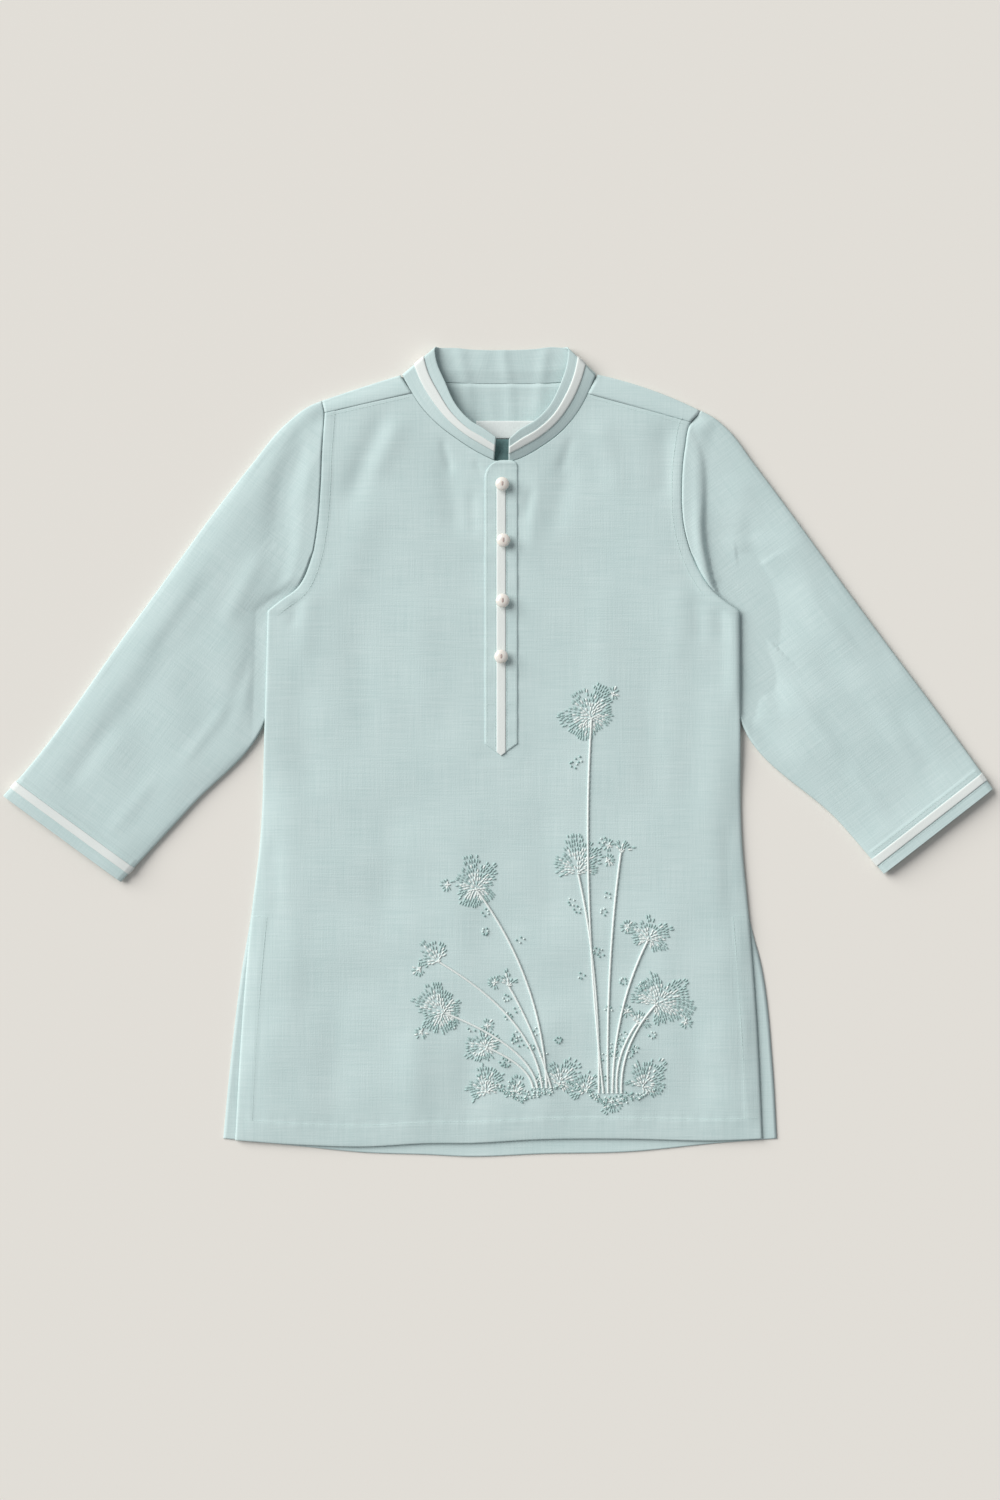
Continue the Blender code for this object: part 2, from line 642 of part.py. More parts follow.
def clear_of_sleeves(x, y):
    """Moves the back's side edges in where the tucked sleeves lie, and spreads that over the columns."""
    x = x.copy()
    for side, column in ((LEFT, 0), (RIGHT, -1)):
        clear = tucked_reach(side, y[column])
        edge = x[column].copy()
        moved = side * np.minimum(side * edge, side * clear) - edge
        away = np.abs(x - edge) / np.abs(x[-1] - x[0])
        x += moved * np.maximum(0.0, 1 - 3 * away)
    return x


def shoulder_turn(side, line, outward):
    """Rows of the back past the flat part: round the shoulder's fold, and forward to the seam."""
    angle = np.linspace(-np.pi / 2, np.pi / 2, ROLL_SPANS + 1)[1:]
    seam = forward_seam(side, SHOULDER_SPANS)
    seam_z = front_height(seam[:, 0], seam[:, 1])
    rows = []
    for turn in angle:
        plan = line + FOLD_RADIUS * (np.cos(turn) - 1) * outward
        rows.append(np.column_stack([plan, np.full(len(plan), FOLD_RADIUS * (1 + np.sin(turn)))]))
    last = rows[-1]
    end = np.column_stack([seam, seam_z])
    middle = (last + end) / 2
    middle[0, 0] = edge_x(FRONT_EDGES, side, middle[0, 1])
    rows += [middle, end]
    return np.stack(rows, axis=1)


def make_collar():
    heights = [0.0, COLLAR_TAPE_START, (COLLAR_TAPE_START + COLLAR_TAPE_END) / 2, COLLAR_TAPE_END, 1.0]
    return add_shell("collar_band", collar_surface(heights), COLLAR_WALL, "linen")


def make_collar_tape():
    heights = [COLLAR_TAPE_START, (COLLAR_TAPE_START + COLLAR_TAPE_END) / 2, COLLAR_TAPE_END]
    face = collar_surface(heights)
    return add_shell("collar_tape", face + TAPE_LIFT * surface_normals(face), TAPE_WALL, "tape")


def placket_edges(y):
    """Left and right edge of the placket at these y: a round top corner and a pointed end."""
    into_corner = np.clip(y - (PLACKET_TOP - PLACKET_CORNER_RADIUS), 0.0, PLACKET_CORNER_RADIUS)
    corner = PLACKET_CORNER_RADIUS - np.sqrt(PLACKET_CORNER_RADIUS**2 - into_corner**2)
    middle = (PLACKET_LEFT + PLACKET_RIGHT) / 2
    point = np.clip((y - PLACKET_TIP_Y) / (PLACKET_SHOULDER_Y - PLACKET_TIP_Y), 0.0, 1.0)
    half = np.maximum((PLACKET_RIGHT - PLACKET_LEFT) / 2 * point, BLUNT)
    left = middle - half + corner
    return left, middle + half


def strip_on_front(name, y, left, right, columns, wall, lift, slot):
    """A strip that lies on the front: its outer face is the front's, moved out."""
    across = np.linspace(0.0, 1.0, columns + 1)[:, None]
    x = left + (right - left) * across
    rows = y + 0 * x
    grid = np.stack([x, rows, front_height(x, rows) + lift], axis=-1)
    return add_shell(name, grid, wall, slot)


def make_placket():
    straight = np.linspace(PLACKET_SHOULDER_Y, PLACKET_TOP - PLACKET_CORNER_RADIUS, 16)
    corner = PLACKET_TOP - PLACKET_CORNER_RADIUS * (1 - np.sin(np.radians([22.0, 45.0, 66.0, 84.0])))
    y = np.concatenate([[PLACKET_TIP_Y, PLACKET_SHOULDER_Y / 3], straight, corner])
    left, right = placket_edges(y)
    lift = SEAM_GAP + CLOTH_WALL
    return strip_on_front("placket", y, left, right, 4, CLOTH_WALL, lift, "linen")


def make_placket_tape():
    middle = (PLACKET_LEFT + PLACKET_RIGHT) / 2
    tip = PLACKET_TIP_Y + SEAM_GAP
    full = tip + 2 * PLACKET_TAPE_HALF * (PLACKET_SHOULDER_Y - PLACKET_TIP_Y) / (PLACKET_RIGHT - PLACKET_LEFT)
    y = np.concatenate([[tip], np.linspace(full, PLACKET_TAPE_TOP, 17)])
    half = np.full(len(y), PLACKET_TAPE_HALF)
    half[0] = BLUNT
    lift = 2 * SEAM_GAP + CLOTH_WALL + TAPE_WALL
    return strip_on_front("placket_tape", y, middle - half, middle + half, 2, TAPE_WALL, lift, "tape")


def make_button(index, place):
    """A pearl button: a turned profile, a flattened ball on a short foot."""
    angle = np.linspace(np.pi / 2, -0.32 * np.pi, 8)
    ball = (BUTTON_HEIGHT - BUTTON_FOOT_HEIGHT) / 2
    radius = BUTTON_RADIUS * np.cos(angle)
    height = BUTTON_FOOT_HEIGHT + ball * (1 + np.sin(angle))
    radius[0] = 0.0
    profile = np.column_stack([radius, height])
    foot = [(BUTTON_FOOT_RADIUS, BUTTON_FOOT_HEIGHT), (BUTTON_FOOT_RADIUS, 0.0), (0.0, 0.0)]
    profile = np.concatenate([profile, foot])
    mesh = bpy.data.meshes.new(f"button_{index}")
    points = [(r * MM, 0.0, z * MM) for r, z in profile]
    mesh.from_pydata(points, [(k, k + 1) for k in range(len(points) - 1)], [])
    button = add_object(f"button_{index}", mesh, "pearl")
    lift = 3 * SEAM_GAP + CLOTH_WALL + TAPE_WALL
    base = front_height(np.array([place.x]), np.array([place.y]))[0] + lift
    button.location = ((place.x - CENTRE.x) * MM, (place.y - CENTRE.y) * MM, base * MM)
    turn = button.modifiers.new("turn", "SCREW")
    turn.steps = 16
    turn.render_steps = 16
    turn.use_merge_vertices = True
    turn.merge_threshold = 0.00001
    return button


def make_label():
    """The neck label is a plain bare tab on the inside of the back."""
    size = (LABEL_RIGHT - LABEL_LEFT, LABEL_TOP - LABEL_BOTTOM, CLOTH_WALL)
    bpy.ops.mesh.primitive_cube_add(size=1.0)
    label = bpy.context.object
    label.name = "neck_label"
    label.data.name = "neck_label"
    middle = ((LABEL_LEFT + LABEL_RIGHT) / 2, (LABEL_TOP + LABEL_BOTTOM) / 2)
    height = CLOTH_WALL + SEAM_GAP + CLOTH_WALL / 2
    label.location = ((middle[0] - CENTRE.x) * MM, (middle[1] - CENTRE.y) * MM, height * MM)
    for vertex in label.data.vertices:
        vertex.co = [value * length * MM for value, length in zip(vertex.co, size)]
    bevel = label.modifiers.new("rounded", "BEVEL")
    bevel.width = LABEL_ROUND * MM
    bevel.segments = 1
    file_object(label, "label")
    return label


def material_for(slot):
    material = bpy.data.materials.get(slot)
    if material is None:
        material = bpy.data.materials.new(slot)
        material.use_nodes = True
        shader = material.node_tree.nodes["Principled BSDF"]
        shader.inputs["Base Color"].default_value = (*SWATCHES[slot].colour, 1.0)
        shader.inputs["Roughness"].default_value = SWATCHES[slot].roughness
        shader.inputs["Metallic"].default_value = 0.0
    return material


def file_object(thing, slot):
    """Puts an object in the garment's collection and gives it its material."""
    thing.data.materials.append(material_for(slot))
    for collection in list(thing.users_collection):
        collection.objects.unlink(thing)
    GARMENT.objects.link(thing)
    thing.parent = STAND


def add_object(name, mesh, slot):
    thing = bpy.data.objects.new(name, mesh)
    file_object(thing, slot)
    return thing


def add_shell(name, grid, wall, slot, around=False):
    """An object from a grid of outer points, its wall grown inwards. Faces without all four points are left out."""
    rows, columns = grid.shape[:2]
    present = ~np.isnan(grid[..., 0])
    index = np.full((rows, columns), -1)
    index[present] = np.arange(present.sum())
    next_column = np.roll(index, -1, axis=1) if around else index[:, 1:]
    this_column = index if around else index[:, :-1]
    corners = (this_column[:-1], this_column[1:], next_column[1:], next_column[:-1])
    faces = np.stack(corners, axis=-1).reshape(-1, 4)
    faces = faces[(faces >= 0).all(axis=1)]
    points = (grid[present] - np.array([CENTRE.x, CENTRE.y, 0.0])) * MM
    mesh = bpy.data.meshes.new(name)
    mesh.from_pydata(points.tolist(), [], faces.tolist())
    mesh.shade_smooth()
    shell = add_object(name, mesh, slot)
    solid = shell.modifiers.new("wall", "SOLIDIFY")
    solid.thickness = wall * MM
    solid.offset = -1.0
    return shell


for old in list(bpy.data.objects):
    bpy.data.objects.remove(old, do_unlink=True)
GARMENT = bpy.data.collections.new("kurta_tunic")
bpy.context.scene.collection.children.link(GARMENT)
STAND = bpy.data.objects.new("kurta_tunic_root", None)
GARMENT.objects.link(STAND)

make_back()
make_front()
make_sleeve(LEFT, "sleeve_left")
make_sleeve(RIGHT, "sleeve_right")
make_collar()
make_collar_tape()
make_placket()
make_placket_tape()
make_cuff_tape(LEFT, "cuff_tape_left")
make_cuff_tape(RIGHT, "cuff_tape_right")
make_label()
for number, place in enumerate(BUTTONS, start=1):
    make_button(number, place)
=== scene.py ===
# %% [markdown]
# This scene dresses a child's long kurta tunic that lies flat on its back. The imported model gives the
# true form of every sewn piece. Here each piece of cloth is made again as a thinner, finer sheet on the
# same form, with its creases, hems and stitching, and then gets its own material.

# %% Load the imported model
from collections import namedtuple

import bpy
import numpy as np
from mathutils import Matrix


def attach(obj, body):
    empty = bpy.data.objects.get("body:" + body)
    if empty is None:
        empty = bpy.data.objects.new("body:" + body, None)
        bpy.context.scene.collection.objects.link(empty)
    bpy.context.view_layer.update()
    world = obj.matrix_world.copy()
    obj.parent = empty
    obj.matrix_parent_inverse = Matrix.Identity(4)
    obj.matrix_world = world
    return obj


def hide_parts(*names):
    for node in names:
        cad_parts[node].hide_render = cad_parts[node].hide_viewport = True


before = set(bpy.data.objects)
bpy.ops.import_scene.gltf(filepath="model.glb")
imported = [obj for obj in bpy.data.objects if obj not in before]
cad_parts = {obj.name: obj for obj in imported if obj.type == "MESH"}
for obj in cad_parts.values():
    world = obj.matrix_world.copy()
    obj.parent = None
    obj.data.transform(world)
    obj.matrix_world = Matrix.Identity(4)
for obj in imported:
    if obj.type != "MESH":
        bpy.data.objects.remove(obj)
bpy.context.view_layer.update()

# %% [markdown]
# A cut of cloth is easiest to describe in millimetres, as a tailor measures it. Blender works in metres,
# so the tables below are in millimetres and MM turns them into metres when a mesh is made. X runs to the
# picture's right, Y up to the collar, and Z up from the surface that the garment lies on.

# %% Units and the tables of the cut
MM = 0.001
LEFT = -1
RIGHT = 1
SIDE_NAMES = {LEFT: "left", RIGHT: "right"}

Row = namedtuple("Row", "y left right")
Hem = namedtuple("Hem", "x front back")
Point = namedtuple("Point", "x y")
Fold = namedtuple("Fold", "x0 y0 x1 y1 half_width height")
Shoulder = namedtuple("Shoulder", "fold_x fold_y seam_x seam_y rise")
Band = namedtuple("Band", "bottom_x bottom_y top_x top_y top_z")
Sleeve = namedtuple("Sleeve", "outer inner folds creases pleats")
Pleat = namedtuple("Pleat", "points depths near far lip")


def table(kind, *rows):
    """Rows of numbers, each under the names of its kind."""
    return [kind(*row) for row in rows]


CENTRE = Point(0.0, 0.1)
FRONT_SIDES = table(
    Row, (-291, -197, 198), (-205, -192, 194), (-124, -185, 188), (-69, -178.5, 183), (20, -174.8, 181.5),
    (105, -172.5, 180.8),
)
BACK_SIDES = table(
    Row, (-290.5, -206, 209), (-238, -201, 206), (-164, -192, 198), (-124, -185.2, 188.2),
) + FRONT_SIDES[3:]
ARMHOLES = FRONT_SIDES[-1:] + table(
    Row, (112, -163.8, 170.5), (123, -149.5, 158.5), (143, -140.3, 146.8), (166, -135.8, 139.7),
    (199.5, -133, 137.7), (226.5, -131.8, 139.9), (246, -130.2, 144.4), (253.4, -129.9, 150.9),
    (262.5, -132, 157),
)
HEMS = table(
    Hem, (-206, -291, -290.5), (-151, -295, -296), (-100, -296.5, -301), (-51, -294, -302.7),
    (-25, -294, -304), (34, -291, -302), (98, -290.7, -300.5), (164, -292, -294), (209, -290, -290.5),
)
SHOULDERS = {
    LEFT: Shoulder(-132, 262.5, -129.8, 253, 0.3),
    RIGHT: Shoulder(151.5, 255, 144.4, 246, 2.6),
}
COLLAR_FRONTS = {
    LEFT: table(
        Band, (-3, 217.5, -1.5, 234.4, 12), (-15, 223.5, -10.5, 240.8, 12), (-28.5, 232, -20, 246.5, 11.5),
        (-45, 244.5, -31.5, 259, 10.5), (-57, 257, -39.9, 276.9, 9.5), (-65, 269, -45.5, 290, 8.6),
        (-72, 282, -48, 304.3, 7.7),
    ),
    RIGHT: table(
        Band, (8, 216, 8.3, 233, 12), (18, 219.5, 16, 240, 12), (33, 228, 28, 247.3, 11.5),
        (48, 239.5, 38, 257.5, 10.5), (60, 254, 46, 273, 9.5), (67.5, 268, 51.3, 288.5, 8.6),
        (73.5, 282.5, 53.3, 304, 7.7),
    ),
}
COLLAR_BACK = table(
    Band, (-50, 277.3, -34, 302, 0), (-29, 276, -22, 300.9, 0), (4, 275.6, 4, 300.3, 0),
    (40, 276, 28, 301.2, 0), (57, 277.6, 42, 302.6, 0),
)

# %% [markdown]
# Folds are what make cloth look like cloth. Each one here is a soft ridge or trough along a short line,
# written down in millimetres: where it starts, where it ends, how wide it is and how high.
# The folds of the solids come first, and the creases are the finer ones that only the cloth has.

# %% Folds and creases
SLEEVES = {
    LEFT: Sleeve(
        outer=[(-132, 262.5), (-139.5, 259.5), (-159, 245), (-186, 213), (-274, 94.5), (-362, -24),
               (-370.7, -33.5)],
        inner=[(-140.6, 112), (-149.5, 92), (-157.5, 73), (-164, 55), (-169, 38), (-176.5, 17.5),
               (-229, -40.5), (-282.4, -98)],
        folds=table(Fold, (-152, 236, -184, 176, 11, 0.6), (-196, 168, -300, 20, 14, 0.8),
                    (-232, 92, -318, -18, 10, -0.7)),
        creases=table(Fold, (-176, 150, -206, 92, 7, 0.5), (-214, 132, -262, 66, 6, -0.35),
                      (-184, 70, -206, 20, 6, -0.4), (-196, 42, -238, -12, 5, 0.35),
                      (-286, 24, -324, -30, 7, -0.35), (-256, -20, -290, -62, 6, 0.3)),
        pleats=[
            Pleat([(-140, 246), (-152, 224), (-160, 202), (-163.5, 178), (-168.5, 150)],
                  [1.0, 1.6, 2.0, 1.7, 0.4], near=10, far=16, lip=0),
            Pleat([(-150, 126), (-166, 108), (-176, 100), (-178, 60), (-178, 20)],
                  [0.0, 0.3, 0.4, 0.3, 0.1], near=9, far=6, lip=0),
        ],
    ),
    RIGHT: Sleeve(
        outer=[(151.5, 255), (160.5, 250.3), (171.8, 241), (192, 215), (276, 101), (361.5, -15),
               (370.7, -28.3)],
        inner=[(147.1, 112), (156.5, 92), (164.5, 73), (171, 55), (176.5, 38), (184, 17),
               (256.5, -54), (289, -92)],
        folds=table(Fold, (180, 212, 186, 140, 12, 0.6), (204, 160, 300, 26, 14, 0.9),
                    (226, 92, 300, -4, 10, -0.7)),
        creases=table(Fold, (186, 176, 196, 116, 7, -0.5), (196, 74, 214, 24, 6, -0.45),
                      (214, 56, 256, -6, 6, 0.35), (236, 128, 276, 72, 6, -0.35),
                      (296, 34, 328, -20, 7, -0.35), (262, -8, 292, -52, 6, 0.3)),
        pleats=[
            Pleat([(146.5, 240), (154, 222), (156, 204), (156, 186), (155.5, 168), (158, 146), (165.5, 121),
                   (180, 106)], [0.3, 0.7, 1.2, 2.2, 3.5, 3.6, 3.2, 2.0], near=2.2, far=64, lip=0.3),
            Pleat([(182.5, 106), (184, 90), (185, 60), (185, 24)],
                  [3.0, 3.4, 3.0, 1.8], near=4, far=50, lip=0),
        ],
    ),
}
FRONT_FOLDS = table(
    Fold, (-82, 256, -114, 184, 9, -1.4), (-74, 250, -96, 204, 9, 1.0), (-92, 190, -122, 110, 14, 0.8),
    (-40, 226, -30, 160, 9, -1.0), (56, 226, 40, 160, 9, -0.9), (74, 250, 92, 190, 10, 0.8),
    (124, 246, 122, 182, 11, -0.9), (-150, 60, -142, -40, 14, -0.8), (150, 70, 144, -50, 14, -0.8),
    (-62, -200, -63, -296, 13, 1.2), (-22, -214, -22, -296, 11, -0.9), (34, -190, 36, -294, 13, 0.9),
    (98, -206, 100, -294, 14, 1.1), (-120, -180, -124, -296, 13, -0.8), (146, -200, 150, -294, 12, -0.8),
)
FRONT_CREASES = table(
    Fold, (-134, 236, -128, 214, 3.5, -0.6), (126, 246, 126, 190, 6, -0.5), (-17, 218, -11, 204, 2.2, -0.6),
    (-42, 234, -35, 208, 3.4, -0.6), (-19, 196, -17, 160, 5, -0.6), (26, 198, 18, 172, 4, -0.5),
    (56, 236, 46, 208, 4.5, -0.5), (30, 210, 24, 150, 6, 0.4), (-150, 116, -154, 92, 4, -0.6),
    (-140, 122, -146, 70, 7, 0.4), (148, 116, 151, 80, 4, -0.6), (166, 108, 169, 82, 3.5, -0.6),
    (136, 128, 134, 60, 8, 0.4), (-106, 100, -98, 10, 12, -0.5), (-60, 120, -52, 20, 13, 0.4),
    (82, 130, 78, 30, 12, 0.4), (110, 60, 118, -40, 11, -0.45), (-78, -40, -88, -150, 13, -0.45),
    (-30, -60, -26, -170, 13, 0.4), (34, -30, 40, -140, 12, -0.4), (126, -110, 122, -220, 12, 0.45),
    (-150, -110, -158, -220, 10, 0.5), (-168, -60, -166, -130, 6, -0.4), (172, -50, 174, -124, 6, -0.4),
)
# The creases of the back and of the collar behind it lift them off the surface, so none goes below zero.
BACK_CREASES = table(
    Fold, (-24, 296, -22, 236, 4.5, 0.7), (8, 292, 10, 238, 4, 0.6), (33, 298, 30, 250, 4.5, 0.7),
    (-6, 270, -4, 240, 4, 0.3), (-110, 170, -96, 20, 12, 0.8), (104, 190, 96, 60, 11, 0.8),
    (-30, 60, -46, -120, 13, 0.7), (60, 0, 76, -170, 12, 0.8), (-130, -120, -140, -240, 11, 0.6),
    (150, -90, 140, -210, 11, 0.6), (4, 200, -2, 110, 10, 0.6), (-70, 273, 76, 273, 5, 0.5),
)
COLLAR_CREASES = table(
    Fold, (-30, 304, -23, 272, 4.5, 0.8), (3, 304, 8.6, 272, 4.2, 0.7), (36, 304, 32, 272, 4.5, 0.8),
    (-12, 300, -10, 286, 5, 0.3),
)
print(len(FRONT_FOLDS) + len(FRONT_CREASES), "folds and creases on the front")

# %% [markdown]
# The heights and allowances below say how the layers lie on each other: the back on the surface, the
# sleeve's tube beside the body, and the front over both. They are the solids' own values, apart from
# the sheet's thickness and the gap at the seams. Real linen of this weight is about half a millimetre
# thick, which is thinner than the solids' walls, so the sheets fit inside them.

# %% Heights of the layers
SEAM_GAP = 0.05
TAPE_LIFT = 1.3
FOLD_RADIUS = 1.9
FRONT_EDGE_LOW = 2.6
FRONT_EDGE_OVER_SLEEVE = 5.3
FRONT_PLATEAU = 5.7
FRONT_SIDE_RISE = 28.0
FRONT_HEM_RISE = 70.0
SLEEVE_LEAVES_Y = 12.0
SIDE_LOW_Y = -45.0
SLEEVE_CROWN = 2.0
SLEEVE_CROWN_CUFF = 1.2
SLEEVE_EDGE_RISE = 22.0
SLEEVE_SEAM_RISE = 9.0
SLEEVE_MIN_TOP = 3.2
CUFF_ZONE = 40.0
CUFF_ZONE_SHARE = 0.12
CUFF_TAPE_NEAR = 8.0
CUFF_TAPE_FAR = 14.5
CUFF_LIFT_RUN = 24.0
ARMHOLE_HIDDEN_Y = 143.0
TUCK_MARGIN = 9.0
TUCK_MARGIN_RUN = 20.0
COLLAR_FOLD_BOTTOM = 2.2
COLLAR_FOLD_TOP = 3.2
COLLAR_BULGE = 0.8
COLLAR_TAPE_START = 0.36
COLLAR_TAPE_END = 0.66
COLLAR_SHOULDER_CLEARANCE = 1.0
NECK_SHARE_ON_FRONT = 10 / 12
PLACKET_LEFT = -10.0
PLACKET_RIGHT = 14.8
PLACKET_MIDDLE = (PLACKET_LEFT + PLACKET_RIGHT) / 2
PLACKET_TOP = 217.8
PLACKET_CORNER_RADIUS = 14.0
PLACKET_SMALL_RADIUS = 6.0
PLACKET_SHOULDER_Y = 5.6
PLACKET_TIP_Y = -3.5
PLACKET_TAPE_HALF = 3.4
PLACKET_TAPE_TOP = 200.5
BLUNT = 0.4
PLACKET_QUIET_HALF = 18.0

LINEN_WALL = 0.6
COLLAR_WALL = 1.2
TAPE_WALL = 0.5
HEM_DEPTH = 16.0
SLIT_HEM_DEPTH = 12.0
SLIT_TOP_Y = -124.0
SEAM_ALLOWANCE = 7.5
CUFF_HEM_DEPTH = 20.0
SECOND_LAYER = 0.35
LAYER_STEP = 1.4

# %% [markdown]
# A few small tools carry every shape: a smooth curve through a few points, points at even shares of a
# curve's length, and a soft step. They are worked out on whole arrays, so that a sheet of forty thousand
# points takes no longer to write than a sheet of four.


# %% Curves and soft steps
def shares(count):
    """Even shares from 0 to 1."""
    return np.linspace(0.0, 1.0, count)


def stacked(*coordinates):
    """Arrays of x, y and perhaps z joined into one array of points."""
    return np.stack(np.broadcast_arrays(*coordinates), axis=-1)


def unit(vectors):
    """The same directions with length one."""
    return vectors / np.linalg.norm(vectors, axis=-1, keepdims=True)


def smooth_path(points, per_span=16):
    """Each span is the cubic that leaves and meets its two points with the slopes of their neighbours."""
    knots = np.asarray(points, float)
    chord = np.linalg.norm(np.diff(knots, axis=0), axis=1)
    slope = np.gradient(knots, np.concatenate([[0.0], np.cumsum(chord)]), axis=0)
    t = np.linspace(0.0, 1.0, per_span, endpoint=False)[None, :, None]
    length = chord[:, None, None]
    curve = (1 + 2 * t) * (1 - t) ** 2 * knots[:-1, None] + t * t * (3 - 2 * t) * knots[1:, None]
    curve += t * (1 - t) ** 2 * length * slope[:-1, None] + t * t * (t - 1) * length * slope[1:, None]
    return np.concatenate([curve.reshape(-1, knots.shape[1]), knots[-1:]])


def reach_along(path):
    """The distance walked from the start of a path to each of its points."""
    return np.concatenate([[0.0], np.cumsum(np.linalg.norm(np.diff(path, axis=0), axis=1))])


def at_fractions(path, fractions):
    """The points that lie at these fractions of the path's length."""
    reach = reach_along(path)
    wanted = np.asarray(fractions) * reach[-1]
    return stacked(*(np.interp(wanted, reach, column) for column in path.T))


def smoothstep(value):
    """3t^2 - 2t^3: leaves 0 and meets 1 with no slope."""
    t = np.clip(value, 0.0, 1.0)
    return t * t * (3 - 2 * t)


def ease_up(value):
    """1 - (1 - t)^2: rises steeply from 0 and levels out at 1."""
    return 1 - (1 - np.clip(value, 0.0, 1.0)) ** 2


def bell(distance, width):
    """exp(-(distance / width)^2)."""
    return np.exp(-((distance / width) ** 2))


def round_over(distance, radius):
    """How far a quarter circle of this radius has dropped at a distance from the edge: 1 there, 0 inside."""
    t = np.clip(1 - distance / radius, 0.0, 1.0)
    return 1 - np.sqrt(1 - t * t)


def fold_relief(folds, x, y):
    """The sum of the folds, each height * exp(-(off / width)^2), fading past both ends of its line."""
    relief = np.zeros(np.broadcast(x, y).shape)
    for fold in folds:
        along = np.array([fold.x1 - fold.x0, fold.y1 - fold.y0])
        length = np.hypot(*along)
        t = ((x - fold.x0) * along[0] + (y - fold.y0) * along[1]) / length**2
        off = ((x - fold.x0) * along[1] - (y - fold.y0) * along[0]) / length
        past_middle = np.maximum(0.0, np.abs(2 * t - 1) - 0.5)
        relief += fold.height * bell(off, fold.half_width) * bell(past_middle, 0.4)
    return relief


LIP_AWAY = 6.0
LIP_WIDTH = 4.0


def pleat_relief(pleat, x, y):
    """A valley along a path: steep on its right, as a bell, and level and then gently rising on its left.

    The steep side ends in a raised lip, lip * depth high.
    """
    path = smooth_path(pleat.points, 8)
    way = np.gradient(path, axis=0)
    share = reach_along(path) / reach_along(path)[-1]
    depth = np.interp(share, shares(len(pleat.depths)), pleat.depths)
    gap = stacked(np.ravel(x), np.ravel(y))[:, None, :] - path[None]
    nearest = (gap**2).sum(axis=-1).argmin(axis=1)
    off = gap[np.arange(len(gap)), nearest]
    to_left = way[nearest, 0] * off[:, 1] - way[nearest, 1] * off[:, 0] > 0
    signed = np.where(to_left, 1.0, -1.0) * np.hypot(*off.T)
    valley = np.where(to_left, 1 - smoothstep(signed / pleat.far - 0.15), bell(signed, pleat.near))
    lip = pleat.lip * bell(signed + LIP_AWAY, LIP_WIDTH)
    return (depth[nearest] * (lip - valley)).reshape(np.shape(x))


def unevenness(x, y, seed, height, size):
    """Twelve slow waves with seeded directions and lengths, about size apart: hand-smoothed cloth."""
    rng = np.random.default_rng(seed)
    angle = rng.uniform(0.0, np.pi, 12)
    length = size * rng.uniform(0.7, 1.9, 12)
    phase = rng.uniform(0.0, 2 * np.pi, 12)
    waves = np.zeros(np.broadcast(x, y).shape)
    for turn, span, start in zip(angle, length, phase):
        waves += np.sin(2 * np.pi * (x * np.cos(turn) + y * np.sin(turn)) / span + start)
    return height * waves / np.sqrt(12)


# %% [markdown]
# The outline of the garment is a handful of measured points joined smoothly: the sides, the armholes
# and the hems. Everything else on the front and the back is placed by its distance from these lines.

# %% Edges of the front and back
FRONT_EDGES = np.concatenate([smooth_path(FRONT_SIDES), smooth_path(ARMHOLES)])
BACK_EDGES = np.concatenate([smooth_path(BACK_SIDES), smooth_path(ARMHOLES)])
HEM_PATH = smooth_path(HEMS)


def edge_x(edges, side, y):
    """x of the left or right edge at these heights."""
    return np.interp(y, edges[:, 0], edges[:, 1 if side == LEFT else 2])


def hem_y(x, panel):
    """y of the front's or back's hem at these places."""
    return np.interp(x, HEM_PATH[:, 0], HEM_PATH[:, Hem._fields.index(panel)])


def inside_edges(edges, x, y):
    """Distance along x from the nearer side edge."""
    return np.minimum(x - edge_x(edges, LEFT, y), edge_x(edges, RIGHT, y) - x)


def over_sleeve(y):
    """0 where the front's side lies on the back and 1 where it lies over the sleeve."""
    return smoothstep((y - SIDE_LOW_Y) / (SLEEVE_LEAVES_Y - SIDE_LOW_Y))


def away_from_placket(x, y, margin):
    """0 on the placket's middle line, 1 well beside it and from the margin below its tip."""
    away = 1 - np.exp(-(((x - PLACKET_MIDDLE) / PLACKET_QUIET_HALF) ** 4))
    return np.where(y > PLACKET_TIP_Y - margin, away, 1.0)


def front_height(x, y):
    """Low at the hem and slits, higher over the sleeves, level inside, plus the solids' folds."""
    edge = FRONT_EDGE_LOW + (FRONT_EDGE_OVER_SLEEVE - FRONT_EDGE_LOW) * over_sleeve(y)
    from_hem = ease_up((y - hem_y(x, "front")) / FRONT_HEM_RISE)
    rise = ease_up(inside_edges(FRONT_EDGES, x, y) / FRONT_SIDE_RISE)
    height = edge + (FRONT_PLATEAU - edge) * rise
    height = FRONT_EDGE_LOW + (height - FRONT_EDGE_LOW) * from_hem
    quiet = away_from_placket(x, y, PLACKET_QUIET_HALF)
    folds = fold_relief(FRONT_FOLDS, x, y) * rise * quiet * (0.25 + 0.75 * from_hem)
    return np.maximum(height + folds, FRONT_EDGE_LOW)


# %% [markdown]
# The front gets what a sewn front shows. A hem is cloth turned up twice, so it stands a little above
# the rest, and so does the seam allowance beside the armhole. The edges of the sides roll down to the
# back. All of it is written as heights that are added to the solid's own surface.

# %% The front's finished surface
UNDERARM_Y = ARMHOLES[0].y
EDGE_ROLL = 2.2
EDGE_PUFF = 1.5
EDGE_DROP_FREE = 1.0
EDGE_DROP_OVER_SLEEVE = 0.7
SEAM_FROM_X = 110.0
HEM_RIPPLE = 0.09


def armhole_line(side):
    """The armhole seam in plan, from the underarm to the shoulder seam."""
    path = smooth_path(ARMHOLES)[:, [1 if side == LEFT else 2, 0]]
    return path[path[:, 1] <= SHOULDERS[side].seam_y]


